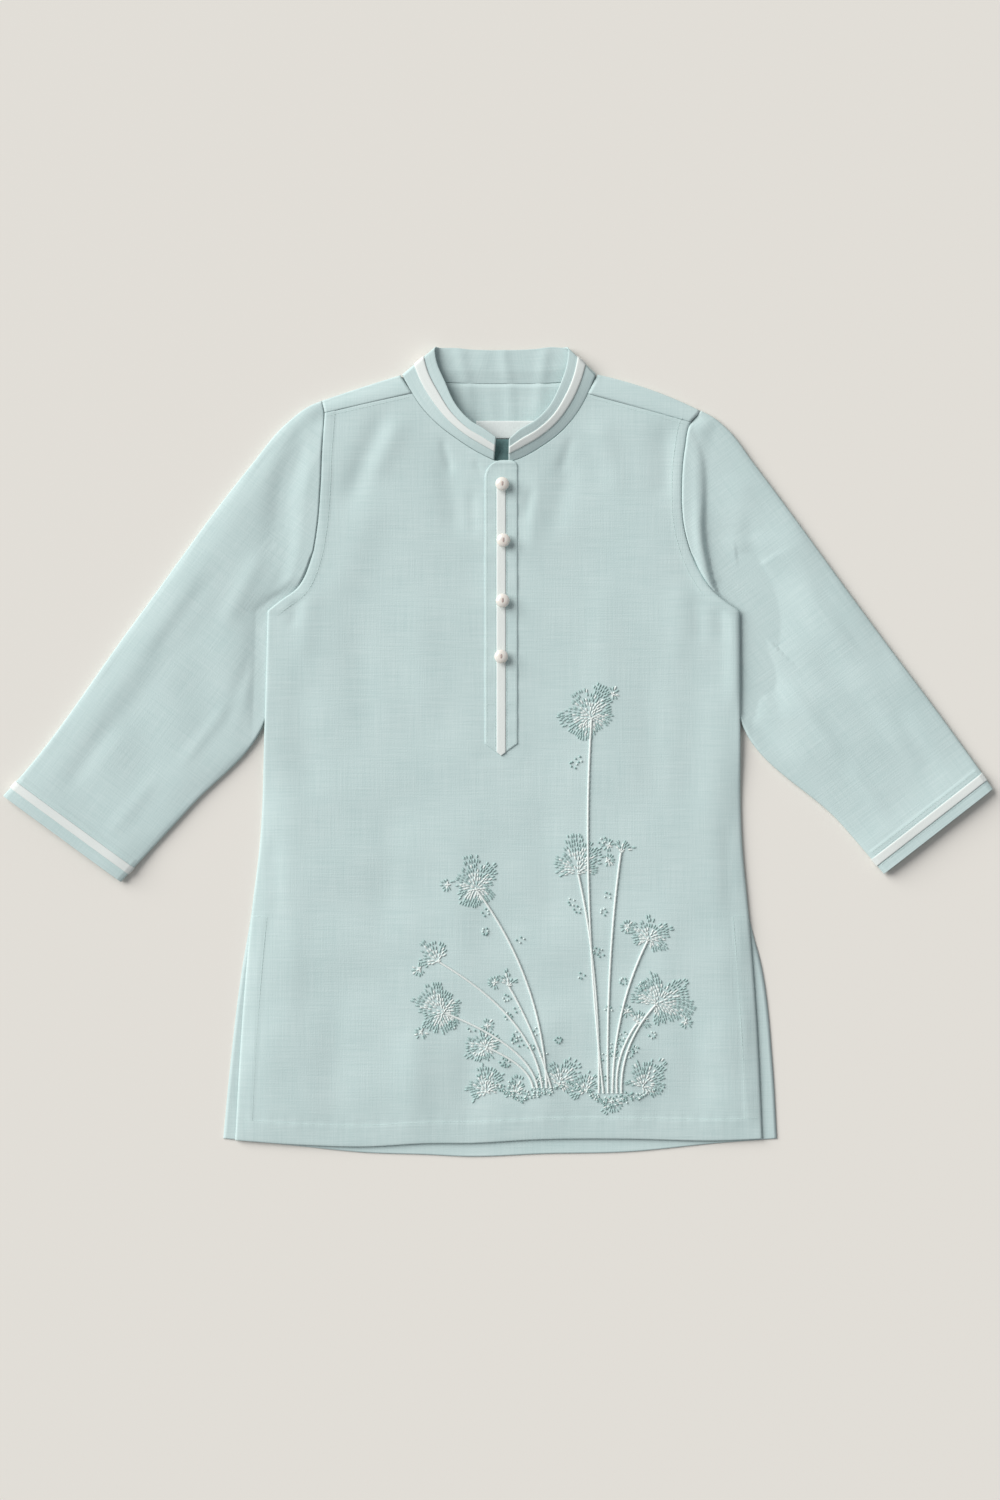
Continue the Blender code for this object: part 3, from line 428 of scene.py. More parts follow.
def distance_to(path, x, y):
    """Distance in plan from each point to the nearest point of a path, taken at half a millimetre."""
    dense = at_fractions(path, shares(int(2 * reach_along(path)[-1])))
    flat = stacked(np.ravel(x), np.ravel(y))
    nearest = np.full(len(flat), np.inf)
    for block in np.array_split(dense, 12):
        gap = flat[:, None, :] - block[None, :, :]
        nearest = np.minimum(nearest, np.sqrt((gap**2).sum(axis=-1)).min(axis=1))
    return nearest.reshape(np.shape(x))


def turned_layer(distance, depth):
    """SECOND_LAYER high from the edge to the turning's depth, then a soft step down."""
    return SECOND_LAYER * smoothstep((depth - distance) / LAYER_STEP + 0.5)


def front_layers(x, y, inside, from_hem):
    """The hem, the slits' hems and the armholes' seam allowances, where the cloth is double."""
    at_slit = smoothstep((SLIT_TOP_Y + 4.0 - y) / 6.0)
    layers = np.maximum(turned_layer(from_hem, HEM_DEPTH), at_slit * turned_layer(inside, SLIT_HEM_DEPTH))
    seam = np.full(x.shape, np.inf)
    for side in (LEFT, RIGHT):
        near = (y > UNDERARM_Y - 2.0) & (side * x > SEAM_FROM_X)
        if near.any():
            seam[near] = np.minimum(seam[near], distance_to(armhole_line(side), x[near], y[near]))
    return np.maximum(layers, turned_layer(seam, SEAM_ALLOWANCE))


def front_surface(x, y):
    """The solid's height, plus creases, hems, seam allowances and the roll of the side edges."""
    x, y = np.broadcast_arrays(np.asarray(x, float), np.asarray(y, float))
    inside = inside_edges(FRONT_EDGES, x, y)
    from_hem = y - hem_y(x, "front")
    calm = smoothstep(inside / 10.0) * smoothstep(from_hem / 24.0 + 0.25)
    creases = 1.2 * fold_relief(FRONT_CREASES, x, y) + unevenness(x, y, 11, 0.3, 60.0)
    creases = creases * calm * away_from_placket(x, y, 6.0)
    puff = smoothstep((y - 24.0) / 30.0) * (1 - smoothstep((y - 108.0) / 30.0)) * (x > 0)
    puff = EDGE_PUFF * puff * bell(inside - 4.5, 5.5)
    ripple = HEM_RIPPLE * bell(from_hem - HEM_DEPTH, 5.0) * np.sin(x / 1.9 + 2 * np.sin(x / 23.0))
    drop = EDGE_DROP_FREE + (EDGE_DROP_OVER_SLEEVE - EDGE_DROP_FREE) * over_sleeve(y)
    height = front_height(x, y) + creases + puff + front_layers(x, y, inside, from_hem) + ripple
    return height - drop * round_over(inside, EDGE_ROLL)


print("front is", round(float(front_surface(60.0, 0.0)), 2), "mm high beside the placket")

# %% [markdown]
# One maker turns a grid of points into a sheet of cloth. The grid is the outer face; Blender's Solidify
# modifier grows the thickness inwards, so the edge of the cloth is real and can be seen. The sheet also
# gets a UV map in metres, so that the weave lies along the cloth and keeps its scale.


# %% Sheets from grids
def grid_faces(rows, columns, around=False):
    """Quads between neighbouring rows and columns, and round the back where the grid is a tube."""
    index = np.arange(rows * columns).reshape(rows, columns)
    after = np.roll(index, -1, axis=1) if around else index[:, 1:]
    here = index if around else index[:, :-1]
    return np.stack([here[:-1], here[1:], after[1:], after[:-1]], axis=-1).reshape(-1, 4)


def fill_mesh(name, points, faces, weave=None):
    """A mesh from points in millimetres and lists of corners, with the weave's UV in metres."""
    mesh = bpy.data.meshes.new(name)
    mesh.from_pydata(((points - [CENTRE.x, CENTRE.y, 0.0]) * MM).tolist(), [], faces)
    mesh.shade_smooth()
    if weave is not None:
        corners = np.empty(len(mesh.loops), np.int32)
        mesh.loops.foreach_get("vertex_index", corners)
        layer = mesh.uv_layers.new(name="weave")
        layer.data.foreach_set("uv", (weave * MM)[corners].ravel())
    return mesh


def add_piece(name, mesh, material, node=None):
    """Puts a mesh in the scene as a piece that rides on the garment, in place of a solid if one is named."""
    piece = bpy.data.objects.new(name, mesh)
    bpy.context.scene.collection.objects.link(piece)
    mesh.materials.append(material)
    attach(piece, "root")
    if node:
        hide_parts(node)
    return piece


def add_sheet(name, grid, wall, material, node=None, weave=None, around=False):
    """A sheet of cloth from the grid of its outer face. Faces that lack a corner are left out."""
    weave = grid[..., :2] if weave is None else weave
    present = ~np.isnan(grid[..., 0]).ravel()
    faces = grid_faces(*grid.shape[:2], around)
    faces = (np.cumsum(present) - 1)[faces[present[faces].all(axis=1)]]
    mesh = fill_mesh(name, grid.reshape(-1, 3)[present], faces.tolist(), weave.reshape(-1, 2)[present])
    piece = add_piece(name, mesh, material, node)
    solid = piece.modifiers.new("thickness", "SOLIDIFY")
    solid.thickness = wall * MM
    solid.offset = -1.0
    print(f"{name}: {present.sum()} points, {len(faces)} faces on its outer side")
    return piece


# %% [markdown]
# The linen is a plain weave of uneven yarns. Close up there is no pattern to draw, only slubs: places
# where a yarn is thicker, long and thin along the weft and along the warp. Two stretched noises make
# them, one for each direction, a third gives the soft clouding of washed cloth, and their sum drives
# both the colour and a slight bump. A chain of image-free nodes also bakes well for the exported model.


# %% Colours and the node helpers
def linear(red, green, blue):
    """A screen colour from 0 to 255 as the linear values that shaders take."""
    share = np.array([red, green, blue]) / 255.0
    value = np.where(share <= 0.04045, share / 12.92, ((share + 0.055) / 1.055) ** 2.4)
    return (*(float(v) for v in value), 1.0)


def new_material(name, colour, roughness, **sockets):
    """A material with one principled shader, whose even values are set on its own sockets."""
    material = bpy.data.materials.new(name)
    material.use_nodes = True
    shader = material.node_tree.nodes["Principled BSDF"]
    shader.inputs["Base Color"].default_value = colour
    shader.inputs["Roughness"].default_value = roughness
    for socket, value in sockets.items():
        shader.inputs[socket.replace("_", " ")].default_value = value
    return material, shader


def stretched_noise(tree, per_metre, detail=2.0, on_weave=True):
    """A noise whose features are 1 / per_metre long in each direction, on the weave's UV or the object."""
    if on_weave:
        uv = tree.nodes.new("ShaderNodeUVMap")
        uv.uv_map = "weave"
        coordinates = uv.outputs["UV"]
    else:
        coordinates = tree.nodes.new("ShaderNodeTexCoord").outputs["Object"]
    mapping = tree.nodes.new("ShaderNodeMapping")
    mapping.inputs["Scale"].default_value = per_metre
    noise = tree.nodes.new("ShaderNodeTexNoise")
    noise.inputs["Scale"].default_value = 1.0
    noise.inputs["Detail"].default_value = detail
    tree.links.new(coordinates, mapping.inputs["Vector"])
    tree.links.new(mapping.outputs["Vector"], noise.inputs["Vector"])
    return noise.outputs["Fac"]


def weighted_sum(tree, start, *terms):
    """start plus each socket times its weight."""
    total = None
    for socket, weight in terms:
        step = tree.nodes.new("ShaderNodeMath")
        step.operation = "MULTIPLY_ADD"
        tree.links.new(socket, step.inputs[0])
        step.inputs[1].default_value = weight
        if total is None:
            step.inputs[2].default_value = start
        else:
            tree.links.new(total, step.inputs[2])
        total = step.outputs[0]
    return total


def colour_between(tree, shader, factor, dark, light):
    """The shader's colour runs from dark to light as the factor goes from 0 to 1."""
    ramp = tree.nodes.new("ShaderNodeValToRGB")
    ramp.color_ramp.elements[0].color = dark
    ramp.color_ramp.elements[1].color = light
    tree.links.new(factor, ramp.inputs["Fac"])
    tree.links.new(ramp.outputs["Color"], shader.inputs["Base Color"])


def add_bump(tree, shader, height, distance):
    """Bends the shading by a height, whose full range is this distance in metres."""
    bump = tree.nodes.new("ShaderNodeBump")
    bump.inputs["Distance"].default_value = distance
    bump.inputs["Strength"].default_value = 1.0
    tree.links.new(height, bump.inputs["Height"])
    tree.links.new(bump.outputs["Normal"], shader.inputs["Normal"])


# %% The linen
def make_linen(name, dark, light):
    """Colour and bump are weighted sums of the weft's, the warp's and the yarns' noise and of clouds."""
    material, shader = new_material(name, light, 0.9, Sheen_Weight=0.12, Sheen_Roughness=0.5)
    shader.inputs["Specular IOR Level"].default_value = 0.25
    tree = material.node_tree
    weft = stretched_noise(tree, (34.0, 900.0, 1.0))
    warp = stretched_noise(tree, (1000.0, 26.0, 1.0))
    yarns = stretched_noise(tree, (900.0, 1500.0, 1.0), detail=1.0)
    clouds = stretched_noise(tree, (26.0, 22.0, 1.0), detail=3.0)
    terms = [(weft, 0.75), (warp, 0.55), (clouds, 0.55), (yarns, 0.35)]
    factor = weighted_sum(tree, 0.5 - 0.5 * sum(weight for _, weight in terms), *terms)
    colour_between(tree, shader, factor, dark, light)
    add_bump(tree, shader, weighted_sum(tree, 0.0, (weft, 0.45), (warp, 0.35), (yarns, 0.5)), 0.00022)
    return material


LINEN = make_linen("linen", linear(183, 206, 206), linear(209, 226, 226))
print("linen made, with slubs about", round(1000 / 34), "mm long")

# %% [markdown]
# The front is one large sheet. Its columns run from the hem up to the shoulder seam and round the neck,
# so that both edges are exact, and its rows crowd together at the hem and at the top, where the cloth
# turns. The wall is 0.6 mm.


# %% Lines that the front, back and collar share
def neck_front(side, fractions):
    """Seam line and top edge of the band's front, from the centre front towards the fold."""
    rows = COLLAR_FRONTS[side]
    bottom = at_fractions(smooth_path([row[:2] for row in rows]), fractions)
    top = at_fractions(smooth_path([row[2:] for row in rows]), fractions)
    return np.column_stack([bottom, front_height(bottom[:, 0], bottom[:, 1])]), top


def forward_seam(side, t):
    """The forward shoulder seam in plan, from the armhole to the neck, at the shares t."""
    neck = neck_front(side, [NECK_SHARE_ON_FRONT])[0][0, :2]
    start = np.array(SHOULDERS[side][2:4])
    return start + (neck - start) * np.asarray(t)[:, None]


def row_shares(length, y_hem, plan):
    """Row shares: crowded in the hem, even to the underarm, even above it, and crowded at the top."""
    ends = (UNDERARM_Y - y_hem[[0, -1]]) / length[[0, -1]]
    under = (ends[0] + (ends[1] - ends[0]) * shares(len(length)))[:, None]
    length = length[:, None]
    start = (plan.hem[-1] + plan.gap) / length
    stop = 1 - plan.top[0] / length
    low = start + (under - start) * np.linspace(0.0, 1.0, plan.low, endpoint=False)
    high = under + (stop - under) * shares(plan.high)
    return np.concatenate([plan.hem / length, low, high, 1 - plan.top[1:] / length], axis=1)


def panel_plan(edges, panel, top, share, plan):
    """Every column runs from the hem to its point of the top line, with rows as the plan says."""
    share_hem = 0.7 * share + 0.3 * (1 - np.cos(np.pi * share)) / 2
    corners = [edge_x(edges, side, edges[0, 0]) for side in (LEFT, RIGHT)]
    y_hem = hem_y(corners[0] + (corners[1] - corners[0]) * share_hem, panel)
    fractions = row_shares(top[:, 1] - y_hem, y_hem, plan)
    y = y_hem[:, None] + (top[:, 1] - y_hem)[:, None] * fractions
    top_left = edge_x(edges, LEFT, top[:, 1])
    share_top = (top[:, 0] - top_left) / (edge_x(edges, RIGHT, top[:, 1]) - top_left)
    share_top[[0, -1]] = (0.0, 1.0)
    across = share_hem[:, None] + (share_top - share_hem)[:, None] * smoothstep(fractions / 0.75)
    left = edge_x(edges, LEFT, y)
    return left + (edge_x(edges, RIGHT, y) - left) * across, y, fractions


# %% The front
RowPlan = namedtuple("RowPlan", "hem gap low high top")

FRONT_ROWS = RowPlan(
    hem=np.array([0.0, 0.4, 1.2, 3.5, 7.0, 10.5, 13.5, 15.0, 16.0, 17.0, 18.5]),
    gap=2.0, low=150, high=70, top=np.array([1.3, 0.7, 0.25, 0.0]),
)
SEAM_SHARES = np.concatenate([[0.0, 0.009, 0.022], shares(32)[1:]])
NECK_SHARES = np.linspace(NECK_SHARE_ON_FRONT, 0.0, 51)[1:]
TOP_DROP = 0.2
HEM_DROP = 0.35


def front_top_line():
    """The front's top line from the left armhole, round the neck, to the right armhole."""
    halves = {}
    for side in (LEFT, RIGHT):
        seam = forward_seam(side, SEAM_SHARES)
        seam[:, 1] -= SEAM_GAP
        halves[side] = np.concatenate([seam, neck_front(side, NECK_SHARES)[0][:, :2]])
    middle = (halves[LEFT][-1] + halves[RIGHT][-1]) / 2
    return np.concatenate([halves[LEFT], [middle], halves[RIGHT][::-1]])


def make_front():
    """The panel's plan, lifted to the finished surface, with the hem and the top edge rolled down."""
    top = front_top_line()
    seam_part = SEAM_SHARES * len(SEAM_SHARES) / len(top)
    half = np.concatenate([seam_part, np.linspace(seam_part[-1], 0.5, len(NECK_SHARES) + 2)[1:-1]])
    share = np.concatenate([half, [0.5], 1 - half[::-1]])
    x, y, fractions = panel_plan(FRONT_EDGES, "front", top, share, FRONT_ROWS)
    from_top = (1 - fractions) * (top[:, 1] - y[:, 0])[:, None]
    z = front_surface(x, y) - TOP_DROP * round_over(from_top, FRONT_ROWS.top[0])
    grid = stacked(x, y, z - HEM_DROP * round_over(y - hem_y(x, "front"), 1.2))
    return grid, add_sheet("front_cloth", grid, LINEN_WALL, LINEN, "front_panel")


FRONT_GRID, FRONT = make_front()

# %% [markdown]
# Each sleeve is a flat tube: a top layer, a bottom layer and a fold along both long edges. Straight
# lines join the two edges, and near the armhole they bend to its curve. The rings are closed, so the
# whole sleeve is one sheet with no seam showing on top, as on the real one, whose seam is underneath.


# %% The sleeves' form
SLEEVE_HEAD_LEVEL = 2.3
SLEEVE_LOWEST_TOP = 2.3
TOP_COLUMNS = 96
LOW_COLUMNS = 30
ROLL_COLUMNS = 9


def sleeve_plan(side, s, w):
    """s runs from the armhole to the cuff, w from the outer edge to the inner. Ruled between both edges."""
    sleeve = SLEEVES[side]
    ends = []
    for points in (sleeve.outer, sleeve.inner):
        path = smooth_path(points)
        zone = CUFF_ZONE / reach_along(path)[-1]
        ends.append(at_fractions(path, np.interp(s, [0.0, 1 - CUFF_ZONE_SHARE, 1.0], [0.0, 1 - zone, 1.0])))
    head, underarm = np.array(sleeve.outer[0]), np.array(sleeve.inner[0])
    w = w[..., None]
    y = head[1] + (underarm[1] - head[1]) * w[..., 0]
    seam_x = edge_x(FRONT_EDGES, side, np.maximum(y, ARMHOLE_HIDDEN_Y)) + side * SEAM_GAP
    bend = stacked(seam_x, y) - (head * (1 - w) + underarm * w)
    return ends[0] * (1 - w) + ends[1] * w + bend * (1 - s[..., None]) ** 6


def sleeve_width(side, s):
    """Width in plan at a column of stations."""
    ends = sleeve_plan(side, np.repeat(s, 2, axis=1), np.array([[0.0, 1.0]]) + 0 * s)
    return np.linalg.norm(ends[:, 1] - ends[:, 0], axis=-1)[:, None]


def cuff_station(distance):
    """s at a distance in millimetres from the cuff's edge."""
    return 1 - CUFF_ZONE_SHARE * np.asarray(distance) / CUFF_ZONE


def sleeve_points(side, s, w, top, turn, out=0.0):
    """Points of the tube: its top layer where top is true, and else at the angle turn round a folded edge.

    The top is a low crown, plus folds, creases, the cuff's turning and the valleys, level beside the seam.
    """
    sleeve = SLEEVES[side]
    radius = FOLD_RADIUS + out
    plan = sleeve_plan(side, s, w)
    x, y = plan[..., 0], plan[..., 1]
    width = sleeve_width(side, s[:, :1])
    crown = SLEEVE_CROWN + (SLEEVE_CROWN_CUFF - SLEEVE_CROWN) * smoothstep(s)
    from_edge = np.minimum(w, 1 - w) * width
    body = crown * ease_up(from_edge / SLEEVE_EDGE_RISE) + fold_relief(sleeve.folds, x, y)
    outside = side * (x - edge_x(FRONT_EDGES, side, y))
    tucked = TUCK_MARGIN * smoothstep((ARMHOLE_HIDDEN_Y - y) / TUCK_MARGIN_RUN)
    beyond = np.maximum(outside - tucked, 0.0)
    body *= 1 - np.exp(-beyond / SLEEVE_SEAM_RISE)
    body = np.maximum(body, SLEEVE_MIN_TOP - 2 * FOLD_RADIUS)
    from_cuff = CUFF_ZONE * (1 - s) / CUFF_ZONE_SHARE
    calm = smoothstep(from_edge / 8.0) * smoothstep(from_cuff / 26.0) * smoothstep(beyond / 8.0)
    body += calm * (1.5 * fold_relief(sleeve.creases, x, y) + unevenness(x, y, 23 + side, 0.3, 52.0))
    body += turned_layer(from_cuff, CUFF_HEM_DEPTH) * smoothstep(from_edge / 3.0)
    tuck = 0.4 + 1.2 * smoothstep((y - ARMHOLE_HIDDEN_Y) / 8.0)
    strip = smoothstep((outside + tuck) / 2.2) * (1 - smoothstep((outside - 9.0) / 12.0))
    strip *= smoothstep((y - UNDERARM_Y - 10.0) / 16.0) * (1 - smoothstep((y - 238.0) / 14.0))
    body += (SLEEVE_HEAD_LEVEL - body) * strip
    valley = sum(pleat_relief(pleat, x, y) for pleat in sleeve.pleats)
    free = smoothstep((SLEEVE_LEAVES_Y + 20.0 - y) / 14.0)
    valley *= smoothstep(w * width / 16.0) * (1 - free * (1 - smoothstep((1 - w) * width / 16.0)))
    body = np.maximum(body + valley, SLEEVE_LOWEST_TOP - 2 * FOLD_RADIUS)
    lift = TAPE_LIFT * smoothstep((CUFF_LIFT_RUN + CUFF_TAPE_FAR - from_cuff) / CUFF_LIFT_RUN)
    return stacked(x, y, np.where(top, 2 * radius + body, radius * (1 + np.sin(turn))) + lift - out)


def sleeve_rings(side, s, out=0.0):
    """Closed rings at the stations s: the top layer, the inner fold, the bottom layer, the outer fold."""
    stations = s[:, None]
    width = sleeve_width(side, stations)
    angle = np.linspace(np.pi / 2, -np.pi / 2, ROLL_COLUMNS)
    inset = (FOLD_RADIUS - (FOLD_RADIUS + out) * np.cos(angle)) / width
    margin = FOLD_RADIUS / width
    top_w = margin + (1 - 2 * margin) * shares(TOP_COLUMNS + 2)[1:-1]
    low_w = 1 - margin - (1 - 2 * margin) * shares(LOW_COLUMNS + 2)[1:-1]
    w = np.concatenate([top_w, 1 - inset, low_w, inset[:, ::-1]], axis=1)
    turn = np.concatenate([np.zeros(TOP_COLUMNS), angle, np.full(LOW_COLUMNS, -np.pi / 2), angle[::-1]])
    top = np.arange(len(turn)) < TOP_COLUMNS
    return sleeve_points(side, stations + 0 * w, w, top[None, :], turn[None, :], out)


def facing_out(side, rings):
    """The rings in the order that turns their faces outwards."""
    return rings if side == LEFT else rings[:, ::-1]


# %% The sleeves
SLEEVE_ROWS = 150
SEAM_EDGE_DROP = 0.2
CUFF_ROWS = [34, 28, 24, 22, 21, 20.4, 19.6, 19, 17, 14.5, 12, 9.5, 8, 5, 2.5, 1, 0.3, 0]


def sleeve_weave(side, grid):
    """Plan turned to the sleeve's own direction, so that the warp runs down the arm."""
    outer = SLEEVES[side].outer
    along = unit(np.subtract(outer[-2], outer[3]))
    return stacked(grid[..., :2] @ [-along[1], along[0]], grid[..., :2] @ along)


def make_sleeve(side):
    """Rings that crowd together at the armhole and at the cuff, with the seam's edge rolled down."""
    body = np.concatenate([[0.0, 0.004], 0.007 + 0.993 * shares(SLEEVE_ROWS) ** 1.2])
    s = np.concatenate([body * cuff_station(CUFF_ZONE), cuff_station(CUFF_ROWS)])
    rings = sleeve_rings(side, s)
    from_seam = np.linalg.norm(rings[:, :, :2] - rings[:1, :, :2], axis=-1)
    rings[:, :TOP_COLUMNS, 2] -= SEAM_EDGE_DROP * round_over(from_seam[:, :TOP_COLUMNS], 1.6)
    grid = facing_out(side, rings)
    name, node = f"{SIDE_NAMES[side]}_sleeve_cloth", f"sleeve_{SIDE_NAMES[side]}"
    weave = sleeve_weave(side, grid)
    return grid, add_sheet(name, grid, LINEN_WALL, LINEN, node, weave, around=True)


SLEEVE_CLOTH = {side: make_sleeve(side) for side in (LEFT, RIGHT)}

# %% [markdown]
# The standing collar lies folded in half on the table: its front stands up in a shallow V, turns over
# at each side of the neck, and its back lies flat with the inside showing. One strip makes the whole
# band. It is two layers with a stiffener between, so its wall is thicker than the body's.

# %% The collar's lines
FRONT_STATIONS = 72
TURN_STATIONS = 10
BACK_STATIONS = 60
CORNER_REACH = 5.0


def collar_fold_line(side):
    """Bottom and top edge where the band turns from its front to its back: half circles."""
    fold = COLLAR_FRONTS[side][-1]
    bottom, top = np.array(fold[:2]), np.array(fold[2:4])
    along = unit(top - bottom)
    outward = side * np.array([along[1], -along[0]])
    angle = np.linspace(np.pi / 2, -np.pi / 2, TURN_STATIONS + 1)[:, None]
    lines = []
    for corner, radius, lift in ((bottom, COLLAR_FOLD_BOTTOM, 0.0), (top, COLLAR_FOLD_TOP, TAPE_LIFT)):
        plan = corner + radius * (np.cos(angle) - 1) * outward
        lines.append(np.column_stack([plan, lift + radius * (1 + np.sin(angle))]))
    return (*lines, ((1 - np.sin(angle)) / 2)[:, 0])


def collar_lines():
    """Bottom edge, top edge and share of back at each station, from the left front end to the right one."""
    halves = {}
    for side in (LEFT, RIGHT):
        front = (*neck_front(side, np.arange(FRONT_STATIONS) / FRONT_STATIONS), np.zeros(FRONT_STATIONS))
        halves[side] = [np.concatenate(parts) for parts in zip(front, collar_fold_line(side))]
    inner = np.arange(1, BACK_STATIONS) / BACK_STATIONS
    middles = []
    for index in (0, 1):
        rows = [row[2 * index : 2 * index + 2] for row in COLLAR_BACK]
        ends = [halves[side][index][-1] for side in (LEFT, RIGHT)]
        points = at_fractions(smooth_path([ends[0][:2], *rows, ends[1][:2]]), inner)
        middles.append(np.column_stack([points, np.full(len(points), ends[0][2])]))
    middles.append(np.ones(len(inner)))
    return [np.concatenate([halves[LEFT][k], middles[k], halves[RIGHT][k][::-1]]) for k in range(3)]


def rounded_corners(top):
    """Near each fold every point of the top edge becomes the mean of its neighbours, weighted by distance."""
    reach = reach_along(top[:, :2])
    weight = bell(reach[:, None] - reach[None], CORNER_REACH) * np.gradient(reach)[None]
    mean = (weight @ top) / weight.sum(axis=1, keepdims=True)
    turn = FRONT_STATIONS + TURN_STATIONS // 2
    away = np.minimum(np.abs(reach - reach[turn]), np.abs(reach - reach[len(top) - 1 - turn]))
    return top + (mean - top) * np.exp(-((away / (2.2 * CORNER_REACH)) ** 4))[:, None]


COLLAR_BOTTOM, COLLAR_TOP, SHARE_OF_BACK = collar_lines()
COLLAR_TOP = rounded_corners(COLLAR_TOP)


def collar_surface(heights):
    """The band's outer face at fractions of its height: ruled, bulging in front, creased at the back."""
    start = COLLAR_BOTTOM.copy()
    start[:, :2] += SEAM_GAP * unit(COLLAR_TOP[:, :2] - COLLAR_BOTTOM[:, :2])
    v = np.asarray(heights)[:, None]
    surface = start + (COLLAR_TOP - start) * v[..., None]
    under = TAPE_LIFT * (np.minimum(v / COLLAR_TAPE_START, 1.0) - v)
    creases = fold_relief(COLLAR_CREASES, surface[..., 0], surface[..., 1])
    bulge = COLLAR_BULGE * 4 * v * (1 - v)
    surface[..., 2] += SHARE_OF_BACK * (under + creases) + (1 - SHARE_OF_BACK) * bulge
    return surface


def surface_normals(grid):
    """Unit normals of a grid of points, facing out for faces made in the grid's own order."""
    return unit(np.cross(np.gradient(grid, axis=0), np.gradient(grid, axis=1)))


def strip_weave(grid):
    """Distance along the strip and across it, from its middle column and row."""
    rows, columns = grid.shape[:2]
    return stacked(reach_along(grid[rows // 2])[None, :], reach_along(grid[:, columns // 4])[:, None])


# %% The collar
COLLAR_ROWS = np.concatenate([[0.0, 0.02, 0.05], np.linspace(0.09, 0.91, 19), [0.95, 0.98, 1.0]])
COLLAR_WIDTH = 19.0


def make_collar():
    """The band's face with both long edges rolled over in front."""
    grid = collar_surface(COLLAR_ROWS)
    edge = np.minimum(COLLAR_ROWS, 1 - COLLAR_ROWS)[:, None] * COLLAR_WIDTH
    drop = 0.3 * (1 - SHARE_OF_BACK)[None, :] * round_over(edge, 1.1)
    grid = grid - drop[..., None] * surface_normals(grid)
    piece = add_sheet("collar_cloth", grid, COLLAR_WALL, LINEN, "collar_band", strip_weave(grid))
    return grid, piece


COLLAR_GRID, COLLAR = make_collar()

# %% [markdown]
# The back lies on the table with its outer side down. At each shoulder it turns up round the fold and
# comes forward as a narrow strip to the shoulder seam. Its inside shows in the neck, so the soft folds
# there are made in the sheet, and the rest of the back gets a few long shallow creases of its own.

# %% The back
BACK_ROWS = RowPlan(hem=np.array([0, 1, 5, 10, 14, 16, 18]), gap=3.0, low=70, high=46, top=np.zeros(1))
BACK_SHOULDER = 30
STRIP_ROWS = 9
STRIP_BOW = 0.5
TUCK_CLEARANCE = 1.2
TUCK_WINDOW = 9.0


def back_lift(x, y):
    """How far the creases lift the back off the surface, calm towards every edge."""
    calm = smoothstep(inside_edges(BACK_EDGES, x, y) / 14.0) * smoothstep((y - hem_y(x, "back")) / 30.0)
    return calm * fold_relief(BACK_CREASES, x, y)


def shoulder_line(side):
    """The shoulder's fold in plan, from the armhole to the neck, with the way out from the body."""
    shoulder = SHOULDERS[side]
    start, end = np.array(shoulder[:2]), np.array(COLLAR_FRONTS[side][-1][:2])
    along = unit(end - start)
    end = end - COLLAR_SHOULDER_CLEARANCE * along
    t = shares(BACK_SHOULDER + 1)[:, None]
    outward = np.array([side * along[1], -side * along[0]])
    return start + (end - start) * t + shoulder.rise * 4 * t * (1 - t) * outward, outward


def shoulder_turn(side):
    """Rows of the back past its flat part: round the shoulder's fold, and forward to the seam."""
    line, outward = shoulder_line(side)
    t = shares(BACK_SHOULDER + 1)
    seam = forward_seam(side, t)
    end = np.column_stack([seam, front_height(seam[:, 0], seam[:, 1])])
    angle = np.linspace(-np.pi / 2, np.pi / 2, TURN_STATIONS + 1)[1:, None, None]
    plan = line[None] + FOLD_RADIUS * (np.cos(angle) - 1) * outward
    turned = stacked(plan[..., 0], plan[..., 1], FOLD_RADIUS * (1 + np.sin(angle[..., 0])))
    share = shares(STRIP_ROWS + 1)[1:, None, None]
    strip = turned[-1:] + (end[None] - turned[-1:]) * share
    strip[..., 2] += STRIP_BOW * np.sin(np.pi * share[..., 0])
    moved = edge_x(FRONT_EDGES, side, strip[:, 0, 1]) - strip[:, 0, 0]
    moved[-1] = 0.0
    strip[..., 0] += moved[:, None] * np.maximum(0.0, 1 - 3 * t)
    strip[-1, :, 2] -= TOP_DROP
    return np.concatenate([turned, strip]).transpose(1, 0, 2)


def clear_of_sleeves(x, y):
    """Moves the back's side edges in where the tucked sleeves lie, and spreads that over the columns."""
    x = x.copy()
    s, w = np.meshgrid(np.linspace(0.0, 0.6, 90), np.linspace(0.3, 1.0, 60), indexing="ij")
    for side, column in ((LEFT, 0), (RIGHT, -1)):
        plan = sleeve_plan(side, s, w).reshape(-1, 2)
        plan = plan[plan[:, 1] < ARMHOLE_HIDDEN_Y]
        near = np.abs(plan[:, 1][None, :] - y[column][:, None]) < TUCK_WINDOW
        reach = np.where(near, side * plan[:, 0][None, :], np.inf).min(axis=1) - TUCK_CLEARANCE
        edge = x[column].copy()
        moved = side * np.minimum(side * edge, reach) - edge
        x += moved * np.maximum(0.0, 1 - 3 * np.abs(x - edge) / np.abs(x[-1] - x[0]))
    return x


